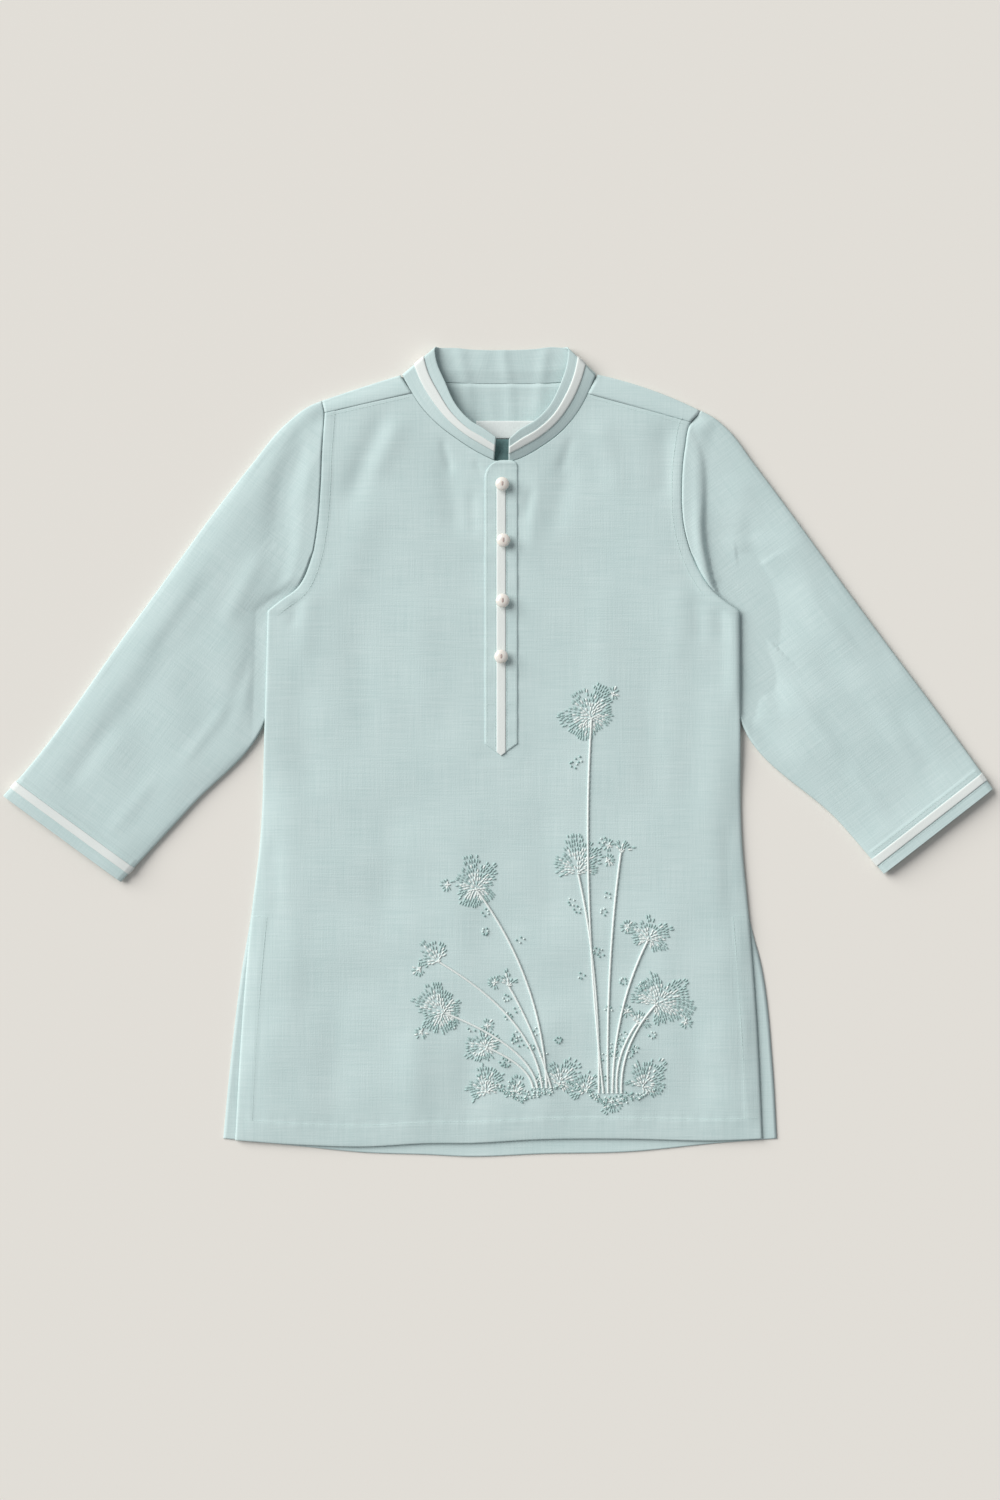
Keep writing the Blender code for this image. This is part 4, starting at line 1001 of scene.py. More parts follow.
def make_back():
    """The flat part, then both shoulders' turns, with no points between them behind the neck."""
    first = FRONT_STATIONS + TURN_STATIONS
    neck = COLLAR_BOTTOM[first : first + BACK_STATIONS + 1, :2] - [0.0, SEAM_GAP]
    lines = {side: shoulder_line(side) for side in (LEFT, RIGHT)}
    inset = {side: line - FOLD_RADIUS * outward for side, (line, outward) in lines.items()}
    top = np.concatenate([inset[LEFT], neck, inset[RIGHT][::-1]])
    x, y, _ = panel_plan(BACK_EDGES, "back", top, shares(len(top)), BACK_ROWS)
    x = clear_of_sleeves(x, y)
    flat = stacked(x, y, back_lift(x, y))
    turns = {side: shoulder_turn(side) for side in (LEFT, RIGHT)}
    flap = np.full((len(neck), *turns[LEFT].shape[1:]), np.nan)
    turn = np.concatenate([turns[LEFT], flap, turns[RIGHT][::-1]])
    return np.concatenate([flat, turn], axis=1).transpose(1, 0, 2), flat.shape[1]


BACK_GRID, BACK_FLAT_ROWS = make_back()
BACK = add_sheet("back_cloth", BACK_GRID, LINEN_WALL, LINEN, "back_panel")

# %% [markdown]
# The white trimming is a narrow woven tape: a ribbed band with a firm edge on both sides. It is sewn
# round the collar, down the placket and round each cuff. Its own weave runs across it as fine ribs.


# %% The tape's material
def make_tape_finish():
    """Fine ribs drive the bump, and ribs and slow wear together the colour."""
    material, shader = new_material("woven_tape", linear(233, 237, 235), 0.75, Sheen_Weight=0.1)
    tree = material.node_tree
    ribs = stretched_noise(tree, (1900.0, 700.0, 1.0), detail=1.0)
    wear = stretched_noise(tree, (40.0, 120.0, 1.0))
    factor = weighted_sum(tree, -0.1, (ribs, 0.6), (wear, 0.6))
    colour_between(tree, shader, factor, linear(216, 224, 222), linear(236, 240, 238))
    add_bump(tree, shader, ribs, 0.00012)
    return material


TAPE = make_tape_finish()
TAPE_OUT = 0.62
TAPE_EDGE_DROP = 0.25


# %% The collar's tape
def make_collar_tape():
    """A strip of the collar's face moved out, with both edges rolled down."""
    face = collar_surface(np.linspace(COLLAR_TAPE_START, COLLAR_TAPE_END, 9))
    edge = np.minimum(np.arange(9), np.arange(9)[::-1])[:, None] * 0.8
    lift = TAPE_OUT - TAPE_EDGE_DROP * round_over(edge, 1.0)
    grid = face + lift[..., None] * surface_normals(face)
    return add_sheet("collar_tape_cloth", grid, TAPE_WALL, TAPE, "collar_tape", strip_weave(grid))


COLLAR_TAPE = make_collar_tape()


# %% The cuffs' tapes
def make_cuff_tape(side):
    """Rings of the sleeve moved out, with both edges rolled down on top."""
    distances = np.array([CUFF_TAPE_FAR, 14.2, 13.6, 12.5, 11.25, 10.0, 8.9, 8.3, CUFF_TAPE_NEAR])
    rings = sleeve_rings(side, cuff_station(distances), out=TAPE_OUT)
    edge = np.minimum(distances - CUFF_TAPE_NEAR, CUFF_TAPE_FAR - distances)[:, None]
    rings[:, :TOP_COLUMNS, 2] -= TAPE_EDGE_DROP * round_over(edge, 0.8)
    grid = facing_out(side, rings)
    around = reach_along(np.concatenate([grid[4], grid[4][:1]]))[:-1]
    name, node = f"{SIDE_NAMES[side]}_cuff_tape_cloth", f"cuff_tape_{SIDE_NAMES[side]}"
    weave = stacked(around[None, :], distances[:, None])
    return add_sheet(name, grid, TAPE_WALL, TAPE, node, weave, around=True)


CUFF_TAPES = {side: make_cuff_tape(side) for side in (LEFT, RIGHT)}

# %% [markdown]
# The placket is a strip folded under at both edges and stitched onto the front, with the tape down its
# middle. Its top corners are round, the left one more than the right, and it ends below in a point. Both
# strips are the front's own surface moved out, with their edges rolled down so that they look sewn on.

# %% The placket and its tape
PLACKET_OUT = 0.8
PLACKET_TAPE_OUT = 1.35
PLACKET_PUCKER = 0.1
PLACKET_RIDGE = 0.45


def corner_inset(y, radius):
    """How far a round corner of this radius leaves the straight edge at the placket's top."""
    into = np.clip(y - (PLACKET_TOP - radius), 0.0, radius)
    return radius - np.sqrt(radius**2 - into**2)


def placket_edges(y):
    """Left and right edge at these y: a wide and a narrow round corner on top and a pointed end."""
    point = np.clip((y - PLACKET_TIP_Y) / (PLACKET_SHOULDER_Y - PLACKET_TIP_Y), 0.0, 1.0)
    half = np.maximum((PLACKET_RIGHT - PLACKET_LEFT) / 2 * point, BLUNT)
    left = PLACKET_MIDDLE - half + corner_inset(y, PLACKET_CORNER_RADIUS)
    return left, PLACKET_MIDDLE + half - corner_inset(y, PLACKET_SMALL_RADIUS)


def placket_surface(x, y):
    """The front's height moved out, with the slight puckers of a stitched strip."""
    pucker = np.sin(y / 3.1 + 1.7 * np.sin(y / 29.0)) * smoothstep(np.abs(x - PLACKET_MIDDLE) / 8.0)
    return front_height(x, y) + PLACKET_OUT + PLACKET_PUCKER * pucker


def strip_grid(y, left, right, across, height, roll, drop):
    """Rows at y, from left to right, with both long edges rolled down."""
    x = left + (right - left) * across[:, None]
    rows = y + 0 * x
    edge = np.minimum(x - left, right - x)
    return stacked(x, rows, height(x, rows) - drop * round_over(edge, roll))


def make_placket():
    """The strip between its edges, with a ridge and a rolled edge at the top."""
    tip = np.linspace(PLACKET_TIP_Y, PLACKET_SHOULDER_Y, 12)[:-1]
    straight = np.linspace(PLACKET_SHOULDER_Y, PLACKET_TOP - PLACKET_CORNER_RADIUS, 150)
    corner = PLACKET_TOP - PLACKET_CORNER_RADIUS * (1 - np.sin(np.radians(np.linspace(6.0, 84.0, 14))))
    y = np.concatenate([tip, straight, corner])
    across = np.concatenate([[0.0, 0.01, 0.03], np.linspace(0.06, 0.94, 17), [0.97, 0.99, 1.0]])
    grid = strip_grid(y, *placket_edges(y), across, placket_surface, 1.1, 0.5)
    from_top = PLACKET_TOP - grid[..., 1]
    grid[..., 2] += PLACKET_RIDGE * bell(from_top - 2.2, 1.8) - 0.5 * round_over(from_top, 1.4)
    return grid, add_sheet("placket_cloth", grid, LINEN_WALL, LINEN, "placket")


def placket_tape_surface(x, y):
    """The front's height moved out past the placket."""
    return front_height(x, y) + PLACKET_TAPE_OUT


def make_placket_tape():
    """A strip of even width that narrows to the placket's point."""
    tip = PLACKET_TIP_Y + SEAM_GAP
    slope = (PLACKET_SHOULDER_Y - PLACKET_TIP_Y) / (PLACKET_RIGHT - PLACKET_LEFT)
    full = tip + 2 * PLACKET_TAPE_HALF * slope
    y = np.concatenate([np.linspace(tip, full, 6)[:-1], np.linspace(full, PLACKET_TAPE_TOP, 120)])
    half = np.clip(PLACKET_TAPE_HALF * (y - tip) / (full - tip), BLUNT, PLACKET_TAPE_HALF)
    across = np.array([0.0, 0.04, 0.12, 0.3, 0.5, 0.7, 0.88, 0.96, 1.0])
    edges = PLACKET_MIDDLE - half, PLACKET_MIDDLE + half
    grid = strip_grid(y, *edges, across, placket_tape_surface, 0.8, TAPE_EDGE_DROP)
    weave = grid[..., [1, 0]]
    return add_sheet("placket_tape_cloth", grid, TAPE_WALL, TAPE, "placket_tape", weave)


PLACKET_GRID, PLACKET = make_placket()
PLACKET_TAPE = make_placket_tape()

# %% [markdown]
# The label inside the neck is a small woven tab. It is left bare. Its weave is satin, so it has a
# finer grain and more gloss than the linen round it. Its whites are a little darker than its own
# colour, as painted shade from the collar's front above it.

# %% The neck label
LABEL_LEFT = -16.5
LABEL_RIGHT = 32.0
LABEL_TOP = 247.5
LABEL_BOTTOM = 234.0
LABEL_LIFT = 1.9
LABEL_WALL = 0.5


def make_label_finish():
    """Satin: one fine grain drives both colour and bump; its whites are darkened a little as painted shade.
    """
    # The label's whites are darkened a little: painted shade from the collar's front above it.
    material, shader = new_material("label_satin_and_painted_shade", linear(217, 224, 224), 0.5, Sheen_Weight=0.15)
    tree = material.node_tree
    grain = stretched_noise(tree, (1500.0, 300.0, 1.0), detail=1.0)
    colour_between(tree, shader, grain, linear(214, 223, 222), linear(232, 238, 237))
    add_bump(tree, shader, grain, 0.0001)
    return material


def make_label():
    """A flat tab over the back's inside, a little bowed, with its ends rolled down."""
    x, y = np.meshgrid(np.linspace(LABEL_LEFT, LABEL_RIGHT, 50), np.linspace(LABEL_BOTTOM, LABEL_TOP, 16))
    from_ends = np.minimum(x - LABEL_LEFT, LABEL_RIGHT - x)
    edge = np.minimum(from_ends, np.minimum(y - LABEL_BOTTOM, LABEL_TOP - y))
    grid = stacked(x, y, LABEL_LIFT + 0.25 * back_lift(x, y) - 0.25 * round_over(edge, 0.8))[:, ::-1]
    return grid, add_sheet("label_cloth", grid, LABEL_WALL, make_label_finish(), "neck_label")


LABEL_GRID, LABEL = make_label()

# %% [markdown]
# Between the ends of the collar the inside of the neck lies in deep shade. That shade is painted: a
# small strip of dark teal linen, laid over the back just under the slot.

# %% The painted shade behind the slot
# Dark teal linen: painted shade for the slot between the collar's ends.
SHADE_SHEET_LINEN = make_linen("painted_shade_linen", linear(84, 116, 116), linear(112, 142, 142))
SHADE_SHEET_LIFT = 3.4
SHADE_SHEET_LOW = 208.0
SHADE_SHEET_TOP = 233.5
SHADE_SHEET_WALL = 0.5


def make_shade_sheet():
    """Painted shade: a flat dark strip from under the label's edge to below the placket's top, tipped down to
    the front.
    """
    x, y = np.meshgrid(np.linspace(-5.5, 12.5, 24), np.linspace(SHADE_SHEET_LOW, SHADE_SHEET_TOP, 30))
    z = SHADE_SHEET_LIFT + 0.5 * smoothstep((y - SHADE_SHEET_LOW) / 20.0) - 0.3 * round_over(SHADE_SHEET_TOP - y, 0.8)
    return add_sheet("neck_painted_shade", stacked(x, y, z)[:, ::-1], SHADE_SHEET_WALL, SHADE_SHEET_LINEN)


SHADE_SHEET = make_shade_sheet()

# %% [markdown]
# The four buttons are half-glossy pearls on a short shank. A pearl is a surface of revolution: one
# profile of radius and height turned about the button's axis. Its lustre is a clear coat over a body
# that is a little translucent. The reddish mark in its middle is a painted reflection, made as two
# short threads in a small dip on top.

# %% The pearl buttons
BUTTONS = table(Point, (3.2, 199.6), (4.0, 157.5), (3.5, 112.4), (2.4, 70.6))
PEARL_RADIUS = 5.2
PEARL_HEIGHT = 5.0
SHANK_RADIUS = 2.0
PEARL_BASE = 2.6
PEARL_TOP_DIP = 0.25


def make_pearl_finish():
    """A slow noise between two warm whites, under a clear coat."""
    material, shader = new_material(
        "pearl", linear(240, 236, 229), 0.25, Coat_Weight=0.8, Coat_Roughness=0.06, Subsurface_Weight=0.12,
        Subsurface_Radius=(0.003, 0.0025, 0.002), Subsurface_Scale=1.0,
    )
    tree = material.node_tree
    lustre = stretched_noise(tree, (260.0, 260.0, 260.0), on_weave=False)
    colour_between(tree, shader, lustre, linear(228, 220, 212), linear(244, 242, 236))
    return material


def pearl_base(place):
    """The height of the pearl's underside above the front."""
    return float(front_height(np.array([place.x]), np.array([place.y]))[0]) + PEARL_BASE


def make_pearl(number, place, finish):
    """A flattened ball with a small dip on top, on a short shank; both ends are closed by a fan."""
    angle = np.linspace(np.pi / 2 - 0.02, -0.34 * np.pi, 26)
    radius = PEARL_RADIUS * np.cos(angle)
    height = PEARL_HEIGHT / 2 * (1 + np.sin(angle)) - PEARL_TOP_DIP * bell(radius, 1.2)
    profile = [*zip(radius, height), (SHANK_RADIUS, 0.0), (SHANK_RADIUS * 0.9, -1.1)]
    radius, height = np.array(profile).T[..., None]
    angle = np.linspace(0.0, 2 * np.pi, 40, endpoint=False)
    middle = [place.x, place.y, pearl_base(place)]
    grid = stacked(radius * np.cos(angle), radius * np.sin(angle), height) + middle
    rows, columns = grid.shape[:2]
    count = rows * columns
    ring = np.arange(columns)
    after = np.roll(ring, -1)
    low = (rows - 1) * columns
    fans = [stacked(ring, after, count), stacked(low + after, low + ring, count + 1)]
    faces = sum((part.tolist() for part in (grid_faces(rows, columns, around=True), *fans)), [])
    points = np.concatenate([grid.reshape(-1, 3), [grid[0].mean(axis=0), grid[-1].mean(axis=0)]])
    name = f"pearl_{number}"
    return add_piece(name, fill_mesh(name, points, faces), finish, f"button_{number}")


PEARL_FINISH = make_pearl_finish()
PEARLS = [make_pearl(number, place, PEARL_FINISH) for number, place in enumerate(BUTTONS, start=1)]
print(len(PEARLS), "pearls, each", 2 * PEARL_RADIUS, "mm across")

# %% [markdown]
# Stitches are what tells sewn cloth from moulded cloth. Each one is a short plump thread, a capsule
# with five sides, and hundreds of them are joined into one mesh by repeating the capsule's points at
# every place with whole-array maths. The same maker lays the embroidery's stitches and the beads.


# %% Repeating a small shape
def capsule(sides=5):
    """Points and faces of a short thread one long and two wide: four rings, closed at both ends."""
    angle = np.tile(2 * np.pi * np.arange(sides) / sides, 4)
    along = np.repeat([-0.5, -0.28, 0.28, 0.5], sides)
    radius = np.repeat([0.35, 1.0, 1.0, 0.35], sides)
    faces = grid_faces(4, sides, around=True)[:, ::-1]
    caps = [list(range(sides)), list(range(4 * sides - 1, 3 * sides - 1, -1))]
    return stacked(along, radius * np.cos(angle), radius * np.sin(angle)), faces, caps


def repeat_shape(name, shape, places, along, up, sizes, material):
    """The shape's points scaled by sizes and turned to the frames (along, side, up), at every place."""
    points, faces, caps = shape
    along = unit(np.broadcast_to(along, places.shape))
    side = unit(np.cross(up, along))
    axes = np.stack([along, side, np.cross(along, side)], axis=1)
    sizes = np.broadcast_to(sizes, places.shape)
    world = np.einsum("pk,nk,nkj->npj", points, sizes, axes) + places[:, None, :]
    offset = (np.arange(len(places)) * len(points))[:, None]
    joined = (offset[..., None] + faces[None]).reshape(-1, faces.shape[1]).tolist()
    for cap in caps:
        joined += (offset + np.array(cap)[None]).tolist()
    return add_piece(name, fill_mesh(name, world.reshape(-1, 3), joined), material)


# %% Rows of stitches
STITCH_PITCH = 2.7
STITCH_SIZE = (2.1, 0.16, 0.16)
STITCH_LIFT = 0.02
UNDERSIDE = -0.05
UP = np.array([0.0, 0.0, 1.0])


def make_thread_finish(name, colour, roughness):
    """Spun thread: the fine twist is a noise too small to see as lines."""
    material, shader = new_material(name, colour, roughness, Sheen_Weight=0.2)
    tree = material.node_tree
    twist = stretched_noise(tree, (2600.0, 2600.0, 2600.0), detail=1.0, on_weave=False)
    add_bump(tree, shader, twist, 0.00012)
    return material


SEWING_THREAD = make_thread_finish("sewing_thread", linear(201, 223, 220), 0.6)
WHITE_THREAD = make_thread_finish("white_thread", linear(226, 234, 232), 0.6)


def stitch_row(name, paths):
    """Stitches along each path of points, one pitch apart, lying half in the cloth."""
    ends = []
    for path in paths:
        count = max(2, int(round(reach_along(path)[-1] / STITCH_PITCH)))
        middle = (np.arange(count) + 0.5) / count
        ends.append([at_fractions(path, middle + part / count) for part in (-0.4, 0.4)])
    behind, ahead = (np.concatenate(parts) for parts in zip(*ends))
    places = (ahead + behind) / 2
    print(f"{name}: {len(places)} stitches")
    return repeat_shape(name, capsule(), places, ahead - behind, UP, STITCH_SIZE, SEWING_THREAD)


def laid_on(surface, x, y):
    """A path in plan laid on a surface."""
    x, y = np.broadcast_arrays(x, y)
    return stacked(x, y, surface(x, y) + STITCH_LIFT)


def beside(plan, distance):
    """A plan path moved sideways, to the left of its direction."""
    way = unit(np.gradient(plan, axis=0))
    return plan + distance * stacked(-way[:, 1], way[:, 0])


# %% The painted reflections on the buttons
REFLECTION_MARK_SIZE = (3.5, 0.42, 0.42)
# The reddish thread colour paints the reflection in the middle of each pearl.
REFLECTION_MARK_THREAD = make_thread_finish("painted_reflection_thread", linear(188, 170, 164), 0.7)


def make_painted_reflections():
    """Painted reflection: two short reddish threads side by side in the middle of each pearl's top."""
    places = []
    for place in BUTTONS:
        top = pearl_base(place) + PEARL_HEIGHT - PEARL_TOP_DIP
        places += [[place.x - 0.3, place.y, top], [place.x + 0.3, place.y + 0.2, top]]
    way = [0.0, 1.0, 0.0]
    return repeat_shape("pearl_painted_reflections", capsule(8), np.array(places), way, UP, REFLECTION_MARK_SIZE, REFLECTION_MARK_THREAD)


make_painted_reflections()


# %% The body's stitching
def slit_path(edges, side, low):
    """x and y up one side, from low to the slit's top, at the inset of the slit's hem."""
    y = np.linspace(low, SLIT_TOP_Y, 60)
    return edge_x(edges, side, y) - side * SLIT_HEM_DEPTH, y


def body_paths():
    """Armholes, slit hems, shoulder seams and hem on the front's face."""
    paths = []
    for side in (LEFT, RIGHT):
        seam = beside(at_fractions(armhole_line(side), np.linspace(0.02, 1.0, 80)), side * SEAM_ALLOWANCE)
        x, y = slit_path(FRONT_EDGES, side, hem_y(side * 185.0, "front") + HEM_DEPTH)
        across = np.linspace(x[-1], x[-1] + side * SLIT_HEM_DEPTH, 8)
        shoulder = forward_seam(side, np.linspace(0.02, 0.97, 40)) - [0.0, 2.6]
        paths += [seam.T, (x, y), (across, SLIT_TOP_Y), shoulder.T]
    x = np.linspace(-196.0, 197.0, 240)
    paths.append((x, hem_y(x, "front") + HEM_DEPTH))
    return [laid_on(front_surface, *path) for path in paths]


BODY_STITCHES = stitch_row("front_stitches", body_paths())


# %% The sleeves' stitching
def cuff_path(side, distance, below=False):
    """A path across the top or the underside of a sleeve at a distance from the cuff's edge."""
    s = np.full((1, 40), float(cuff_station(distance)))
    w = np.linspace(0.03, 0.97, 40)[None, :]
    path = sleeve_points(side, s, w, np.array([[not below]]), np.array([[-np.pi / 2]]))[0]
    return path + [0.0, 0.0, UNDERSIDE if below else STITCH_LIFT]


def cuff_stitches(side):
    """Three rows on top, beside the tape and at the turning, and one underneath."""
    turning = CUFF_HEM_DEPTH - 1.5
    rows = [cuff_path(side, distance) for distance in (turning, CUFF_TAPE_FAR + 1.3, CUFF_TAPE_NEAR - 1.3)]
    return stitch_row(f"{SIDE_NAMES[side]}_cuff_stitches", [*rows, cuff_path(side, turning, below=True)])


SLEEVE_STITCHES = {side: cuff_stitches(side) for side in (LEFT, RIGHT)}


# %% The placket's stitching
def placket_paths():
    """Down both sides, round the corner and the point, beside the tape and across below the last button."""
    y = np.concatenate([np.linspace(PLACKET_SHOULDER_Y, 199.0, 60), np.linspace(200.0, 210.5, 12)])
    left, right = placket_edges(y)
    paths = [(left + 1.6, y), (right - 1.6, y)]
    for side in (LEFT, RIGHT):
        corner = [PLACKET_MIDDLE + side * 10.8, PLACKET_SHOULDER_Y]
        paths.append(np.linspace(corner, [PLACKET_MIDDLE, PLACKET_TIP_Y + 1.9], 10).T)
        paths.append((PLACKET_MIDDLE + side * 4.4, np.linspace(3.0, 199.0, 60)))
    half = (PLACKET_RIGHT - PLACKET_LEFT) / 2 - 1.6
    for start, stop in ((-half, -4.6), (4.6, half)):
        paths.append((PLACKET_MIDDLE + np.linspace(start, stop, 10), 35.0))
    return [laid_on(placket_surface, *path) for path in paths]


PLACKET_STITCHES = stitch_row("placket_stitches", placket_paths())


# %% The back's stitching
def back_paths():
    """The hem and slit hems, seen from below."""
    x = np.linspace(-200.0, 203.0, 200)
    slits = [slit_path(BACK_EDGES, side, -274.0) for side in (LEFT, RIGHT)]
    return [stacked(*path, UNDERSIDE) for path in [(x, hem_y(x, "back") + HEM_DEPTH), *slits]]


BACK_STITCHES = stitch_row("back_stitches", back_paths())

# %% [markdown]
# The embroidery is two sprays of wild seed heads, worked in thread and seed beads on the lower right of
# the front. The stems are couched cords. Each head is staggered rings of short raised dabs, white in the
# middle and sea green outwards. Beads lie in small rings beside the stems and in loose rows along the
# ground. A rule lays it all out from a root, a few tips and seeded chance, so no drawing is copied.

# %% The sprays' plan
Stem = namedtuple("Stem", "tip_x tip_y bow radius facing spread")
Spray = namedtuple("Spray", "root_x root_y ground_x ground_half stems tufts")
Tuft = namedtuple("Tuft", "x y radius facing")

SPRAYS = [
    Spray(
        33, -252, -12, 34,
        stems=table(
            Stem, (-16, -104, 10, 17, 100, 360), (-44, -158, 14, 12, 130, 190),
            (-40, -196, 12, 17.5, 150, 360), (-8, -222, 6, 12.5, 160, 360), (8, -176, -4, 8, 95, 170),
        ),
        tufts=table(Tuft, (-8, -256, 14, 110), (14, -256, 9, 100), (45, -250, 15, 60)),
    ),
    Spray(
        84, -256, 4, 36,
        stems=table(
            Stem, (70, 24, -15, 19, 120, 360), (60, -92, 5, 19, 95, 230), (92, -76, -4, 8, 80, 160),
            (112, -142, -6, 14, 75, 300), (118, -190, -8, 20, 40, 300), (104, -204, -6, 9, 60, 200),
        ),
        tufts=table(Tuft, (66, -255, 11, 115), (108, -252, 16, 65), (86, -261, 8, 265)),
    ),
]
STEM_RADIUS = 0.85
CORD_STEP = 0.7
TWIST_LENGTH = 4.5
ROOT_SPREAD = 3.4
DAB_LENGTH = 2.9
DAB_WIDTH = 0.68
DAB_HEIGHT = 0.55
DAB_GAP = 1.95
RING_GAP = 2.5
HEAD_LEAN = 0.35
BUD_RADIUS = 5.0
WHITE_SHARE = 0.58
GLASS_SHARE = 0.6
BEAD_RADIUS = 0.8


def stem_path(spray, number):
    """A quadratic curve: up from the root, then over to the tip, bowed by the table's amount."""
    stem = spray.stems[number]
    lean = [(other.tip_x - spray.root_x) / (other.tip_y - spray.root_y) for other in spray.stems]
    place = np.argsort(np.argsort(lean))[number]
    shift = (place - (len(spray.stems) - 1) / 2) * ROOT_SPREAD
    root = np.array([spray.root_x + shift, spray.root_y])
    tip = np.array([stem.tip_x, stem.tip_y])
    bend = root + (tip - root) * [0.25, 0.55] + [stem.bow, 0.0]
    t = shares(60)[:, None]
    return (1 - t) ** 2 * root + 2 * t * (1 - t) * bend + t * t * tip


def fan_of_dabs(rng, x, y, radius, facing, spread):
    """Staggered rings of short dabs, the larger rings moved the way the head faces, ragged at the rim.

    Each row is x, y, direction, length and share of the radius.
    """
    rows = []
    half = np.radians(spread) / 2
    towards = np.radians(facing)
    swell, turn = rng.uniform(0.0, 2 * np.pi, 2)
    for number, ring in enumerate(np.arange(1.3, 1.2 * radius, RING_GAP)):
        count = max(4, int(2 * half * ring / DAB_GAP))
        step = 2 * half / count
        angle = towards - half + step * (np.arange(count) + 0.5 * (number % 2))
        angle = angle + rng.normal(0.0, 0.13 * step, count)
        reach = ring + rng.uniform(-0.6, 0.6, count)
        at_x = x + reach * np.cos(angle) + HEAD_LEAN * ring * np.cos(towards)
        at_y = y + reach * np.sin(angle) + HEAD_LEAN * ring * np.sin(towards)
        length = DAB_LENGTH * rng.uniform(0.8, 1.15, count)
        rim = 1 + 0.16 * np.sin(2 * angle + swell) + 0.12 * np.sin(5 * angle + turn)
        share = ring / radius / rim
        kept = (share < 1.0) & (rng.random(count) < np.where(share > 0.8, 0.8, 0.97))
        rows.append(stacked(at_x, at_y, angle, length, share)[kept])
    return np.concatenate(rows)


def ground_line(rng, x, y, half_width):
    """Beads in a shallow bowl under the root: three loose rows that rise towards both ends."""
    count = int(half_width * 1.2)
    across = np.tile(np.linspace(-1.0, 1.0, count), 3)
    row = np.repeat([0.0, 1.0, 2.0], count)
    at_x = x + half_width * across * (1 - 0.2 * row) + rng.normal(0.0, 0.7, 3 * count)
    at_y = y + 9.0 * across**2 - 2.8 * row + 1.6 * np.sin(5 * across) + rng.normal(0.0, 0.8, 3 * count)
    return stacked(at_x, at_y)[rng.random(3 * count) < 0.85]


def rosette(rng, middle):
    """A loose ring of four to seven beads."""
    count = rng.integers(4, 8)
    turn = rng.uniform(0, 2 * np.pi) + 2 * np.pi * (np.arange(count) + rng.normal(0.0, 0.12, count)) / count
    reach = rng.uniform(1.7, 3.0, count)[:, None]
    return middle + reach * stacked(np.cos(turn), np.sin(turn))


# %% Working the embroidery
def plan_embroidery():
    """All stems, dabs and beads of both sprays."""
    rng = np.random.default_rng(5)
    stems, dabs, beads = [], [], []
    for spray in SPRAYS:
        for number, stem in enumerate(spray.stems):
            path = stem_path(spray, number)
            stems.append(path)
            tip = np.array([stem.tip_x, stem.tip_y])
            dabs.append(fan_of_dabs(rng, *tip, stem.radius, stem.facing, stem.spread))
            lean = np.radians(stem.facing + rng.choice([-70.0, 70.0]))
            bud = tip + 1.25 * stem.radius * np.array([np.cos(lean), np.sin(lean)])
            dabs.append(fan_of_dabs(rng, *bud, BUD_RADIUS, np.degrees(lean), 300.0))
            for share in rng.uniform(0.2, 0.9, 4):
                aside = rng.choice([-1.0, 1.0]) * rng.uniform(5.0, 13.0)
                beads.append(rosette(rng, path[int(share * 59)] + [aside, rng.normal(0.0, 4.0)]))
        for tuft in spray.tufts:
            dabs.append(fan_of_dabs(rng, *tuft, 250.0))
        beads.append(ground_line(rng, spray.root_x + spray.ground_x, spray.root_y - 3.0, spray.ground_half))
    return stems, np.concatenate(dabs), np.concatenate(beads)


STEM_PATHS, DABS, BEAD_PLACES = plan_embroidery()
print(len(STEM_PATHS), "stems,", len(DABS), "dabs,", len(BEAD_PLACES), "beads")


def front_normals(x, y):
    """Unit normals of the front's finished surface, from its slopes over half a millimetre."""
    step = 0.5
    slope_x = (front_surface(x + step, y) - front_surface(x - step, y)) / (2 * step)
    slope_y = (front_surface(x, y + step) - front_surface(x, y - step)) / (2 * step)
    return unit(stacked(-slope_x, -slope_y, 1.0))


def make_dabs(name, rows, material):
    """A capsule for each row, a little above the cloth."""
    x, y, angle, length, _ = rows.T
    places = stacked(x, y, front_surface(x, y) + 0.22)
    ways = stacked(np.cos(angle), np.sin(angle), 0.0)
    sizes = stacked(length, DAB_WIDTH, DAB_HEIGHT)
    return repeat_shape(name, capsule(), places, ways, front_normals(x, y), sizes, material)


def cord_grid(path):
    """A round cord along a path, its radius waved round and along it like a two-ply twist."""
    count = int(reach_along(path)[-1] / CORD_STEP)
    x, y = at_fractions(path, shares(count)).T
    middle = stacked(x, y, front_surface(x, y) + 0.45)
    way = unit(np.gradient(middle, axis=0))
    side = unit(np.cross(UP, way))
    angle = np.linspace(0.0, 2 * np.pi, 8, endpoint=False)
    walked = CORD_STEP * np.arange(count)[:, None]
    radius = STEM_RADIUS * (1 + 0.08 * np.cos(2 * angle - 2 * np.pi * walked / TWIST_LENGTH))
    ring = np.cos(angle)[:, None] * side[:, None] + np.sin(angle)[:, None] * np.cross(way, side)[:, None]
    return middle[:, None] + radius[..., None] * ring


def make_stems():
    """All cords in one mesh, each closed at both ends by a flat cap."""
    points, faces, caps = [], [], []
    total = 0
    for path in STEM_PATHS:
        grid = cord_grid(path)
        rows, sides = grid.shape[:2]
        points.append(grid.reshape(-1, 3))
        faces += (grid_faces(rows, sides, around=True)[:, ::-1] + total).tolist()
        last = total + (rows - 1) * sides
        caps += [list(range(total, total + sides)), list(range(last, last + sides))[::-1]]
        total += rows * sides
    mesh = fill_mesh("embroidery_stems", np.concatenate(points), faces + caps)
    return add_piece("embroidery_stems", mesh, WHITE_THREAD)


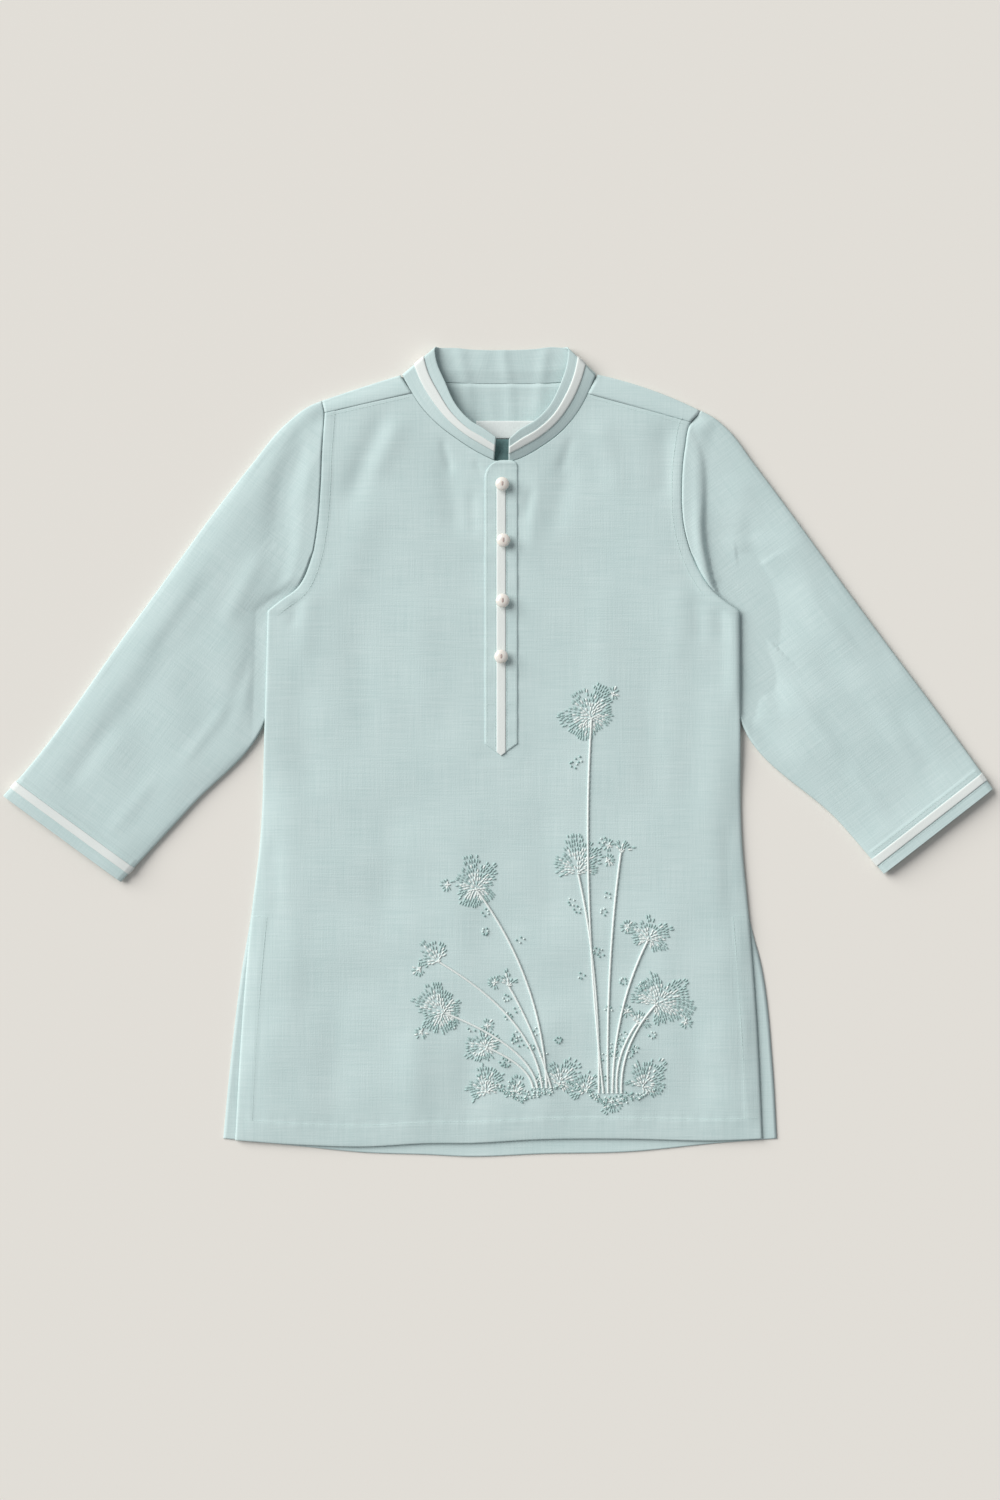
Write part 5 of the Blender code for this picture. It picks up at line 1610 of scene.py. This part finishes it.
def bead_shape(rings=5, sides=8):
    """A small ball of two wide: rings of eight points, closed at both poles by a flat cap."""
    tilt = np.linspace(-0.42 * np.pi, 0.42 * np.pi, rings)[:, None]
    angle = 2 * np.pi * np.arange(sides) / sides
    grid = stacked(np.cos(tilt) * np.cos(angle), np.cos(tilt) * np.sin(angle), np.sin(tilt))
    caps = [list(range(sides))[::-1], list(range((rings - 1) * sides, rings * sides))]
    return grid.reshape(-1, 3), grid_faces(rings, sides, around=True)[:, ::-1], caps


def make_beads(name, places, material):
    """A flattened ball at each place, sunk into the cloth by half its height."""
    x, y = places.T
    at = stacked(x, y, front_surface(x, y) + 0.55 * BEAD_RADIUS)
    sizes = BEAD_RADIUS * np.array([1.0, 1.0, 0.85])
    way = [1.0, 0.0, 0.0]
    return repeat_shape(name, bead_shape(), at, way, front_normals(x, y), sizes, material)


GLASS, _ = new_material("glass_beads", linear(152, 184, 181), 0.25, Coat_Weight=0.4)
MILK, _ = new_material("milk_beads", linear(214, 228, 226), 0.25, Coat_Weight=0.5)
SEA_THREAD = make_thread_finish("sea_thread", linear(168, 196, 194), 0.5)
is_white = DABS[:, 4] + np.random.default_rng(3).normal(0.0, 0.13, len(DABS)) < WHITE_SHARE
is_glass = np.random.default_rng(8).random(len(BEAD_PLACES)) < GLASS_SHARE
EMBROIDERY = [
    make_dabs("white_dabs", DABS[is_white], WHITE_THREAD),
    make_dabs("sea_dabs", DABS[~is_white], SEA_THREAD),
    make_stems(),
    make_beads("glass_beads", BEAD_PLACES[is_glass], GLASS),
    make_beads("milk_beads", BEAD_PLACES[~is_glass], MILK),
]

# %% [markdown]
# The floor is a plain pale sheet of paper, a hair below the garment so that the two never touch. The
# light is soft and comes from the upper left, as by a window, with an even pale sky for the rest.

# %% Floor, light and camera
FLOOR_HALF = 4.0
FLOOR_DROP = 0.0004
FIELD = (0.75, 1.125)
LENS = 85.0
SENSOR = 36.0
LOOK_AT = (0.0015, 0.00065)
WINDOW_WIDTH = 50.0
WINDOW_STRENGTH = 3.76
WINDOW_PLACE = (-3.8, 2.4, 2.85)
SKY_STRENGTH = 0.3


def make_floor():
    """A square of pale paper."""
    mesh = bpy.data.meshes.new("floor")
    corners = [(x * FLOOR_HALF, y * FLOOR_HALF, -FLOOR_DROP) for x, y in ((-1, -1), (1, -1), (1, 1), (-1, 1))]
    mesh.from_pydata(corners, [], [(0, 1, 2, 3)])
    floor = bpy.data.objects.new("floor", mesh)
    bpy.context.scene.collection.objects.link(floor)
    material, _ = new_material("pale_paper", linear(232, 229, 223), 0.9)
    mesh.materials.append(material)


def add_window_light():
    """A large soft light so far away that it is even over the whole garment, WINDOW_WIDTH degrees wide."""
    light = bpy.data.lights.new("window", "SUN")
    light.angle = np.radians(WINDOW_WIDTH)
    light.energy = WINDOW_STRENGTH
    light.color = (1.0, 0.985, 0.96)
    window = bpy.data.objects.new("window", light)
    window.location = WINDOW_PLACE
    bpy.context.scene.collection.objects.link(window)
    window.rotation_euler = window.location.to_track_quat("Z", "Y").to_euler()


def set_sky():
    """One even pale colour from all round."""
    world = bpy.context.scene.world or bpy.data.worlds.new("sky")
    bpy.context.scene.world = world
    world.use_nodes = True
    background = world.node_tree.nodes["Background"]
    background.inputs["Color"].default_value = (0.97, 0.98, 1.0, 1.0)
    background.inputs["Strength"].default_value = SKY_STRENGTH


def add_camera():
    """Straight above the garment, at the distance where the lens takes in the photograph's height."""
    data = bpy.data.cameras.new("camera")
    data.lens = LENS
    data.sensor_width = SENSOR
    camera = bpy.data.objects.new("camera", data)
    camera.location = (*LOOK_AT, LENS / SENSOR * FIELD[1])
    bpy.context.scene.collection.objects.link(camera)
    bpy.context.scene.camera = camera


make_floor()
add_window_light()
add_camera()
set_sky()
bpy.context.scene.view_settings.view_transform = "Standard"
print("window light of", WINDOW_STRENGTH, "from", WINDOW_PLACE)
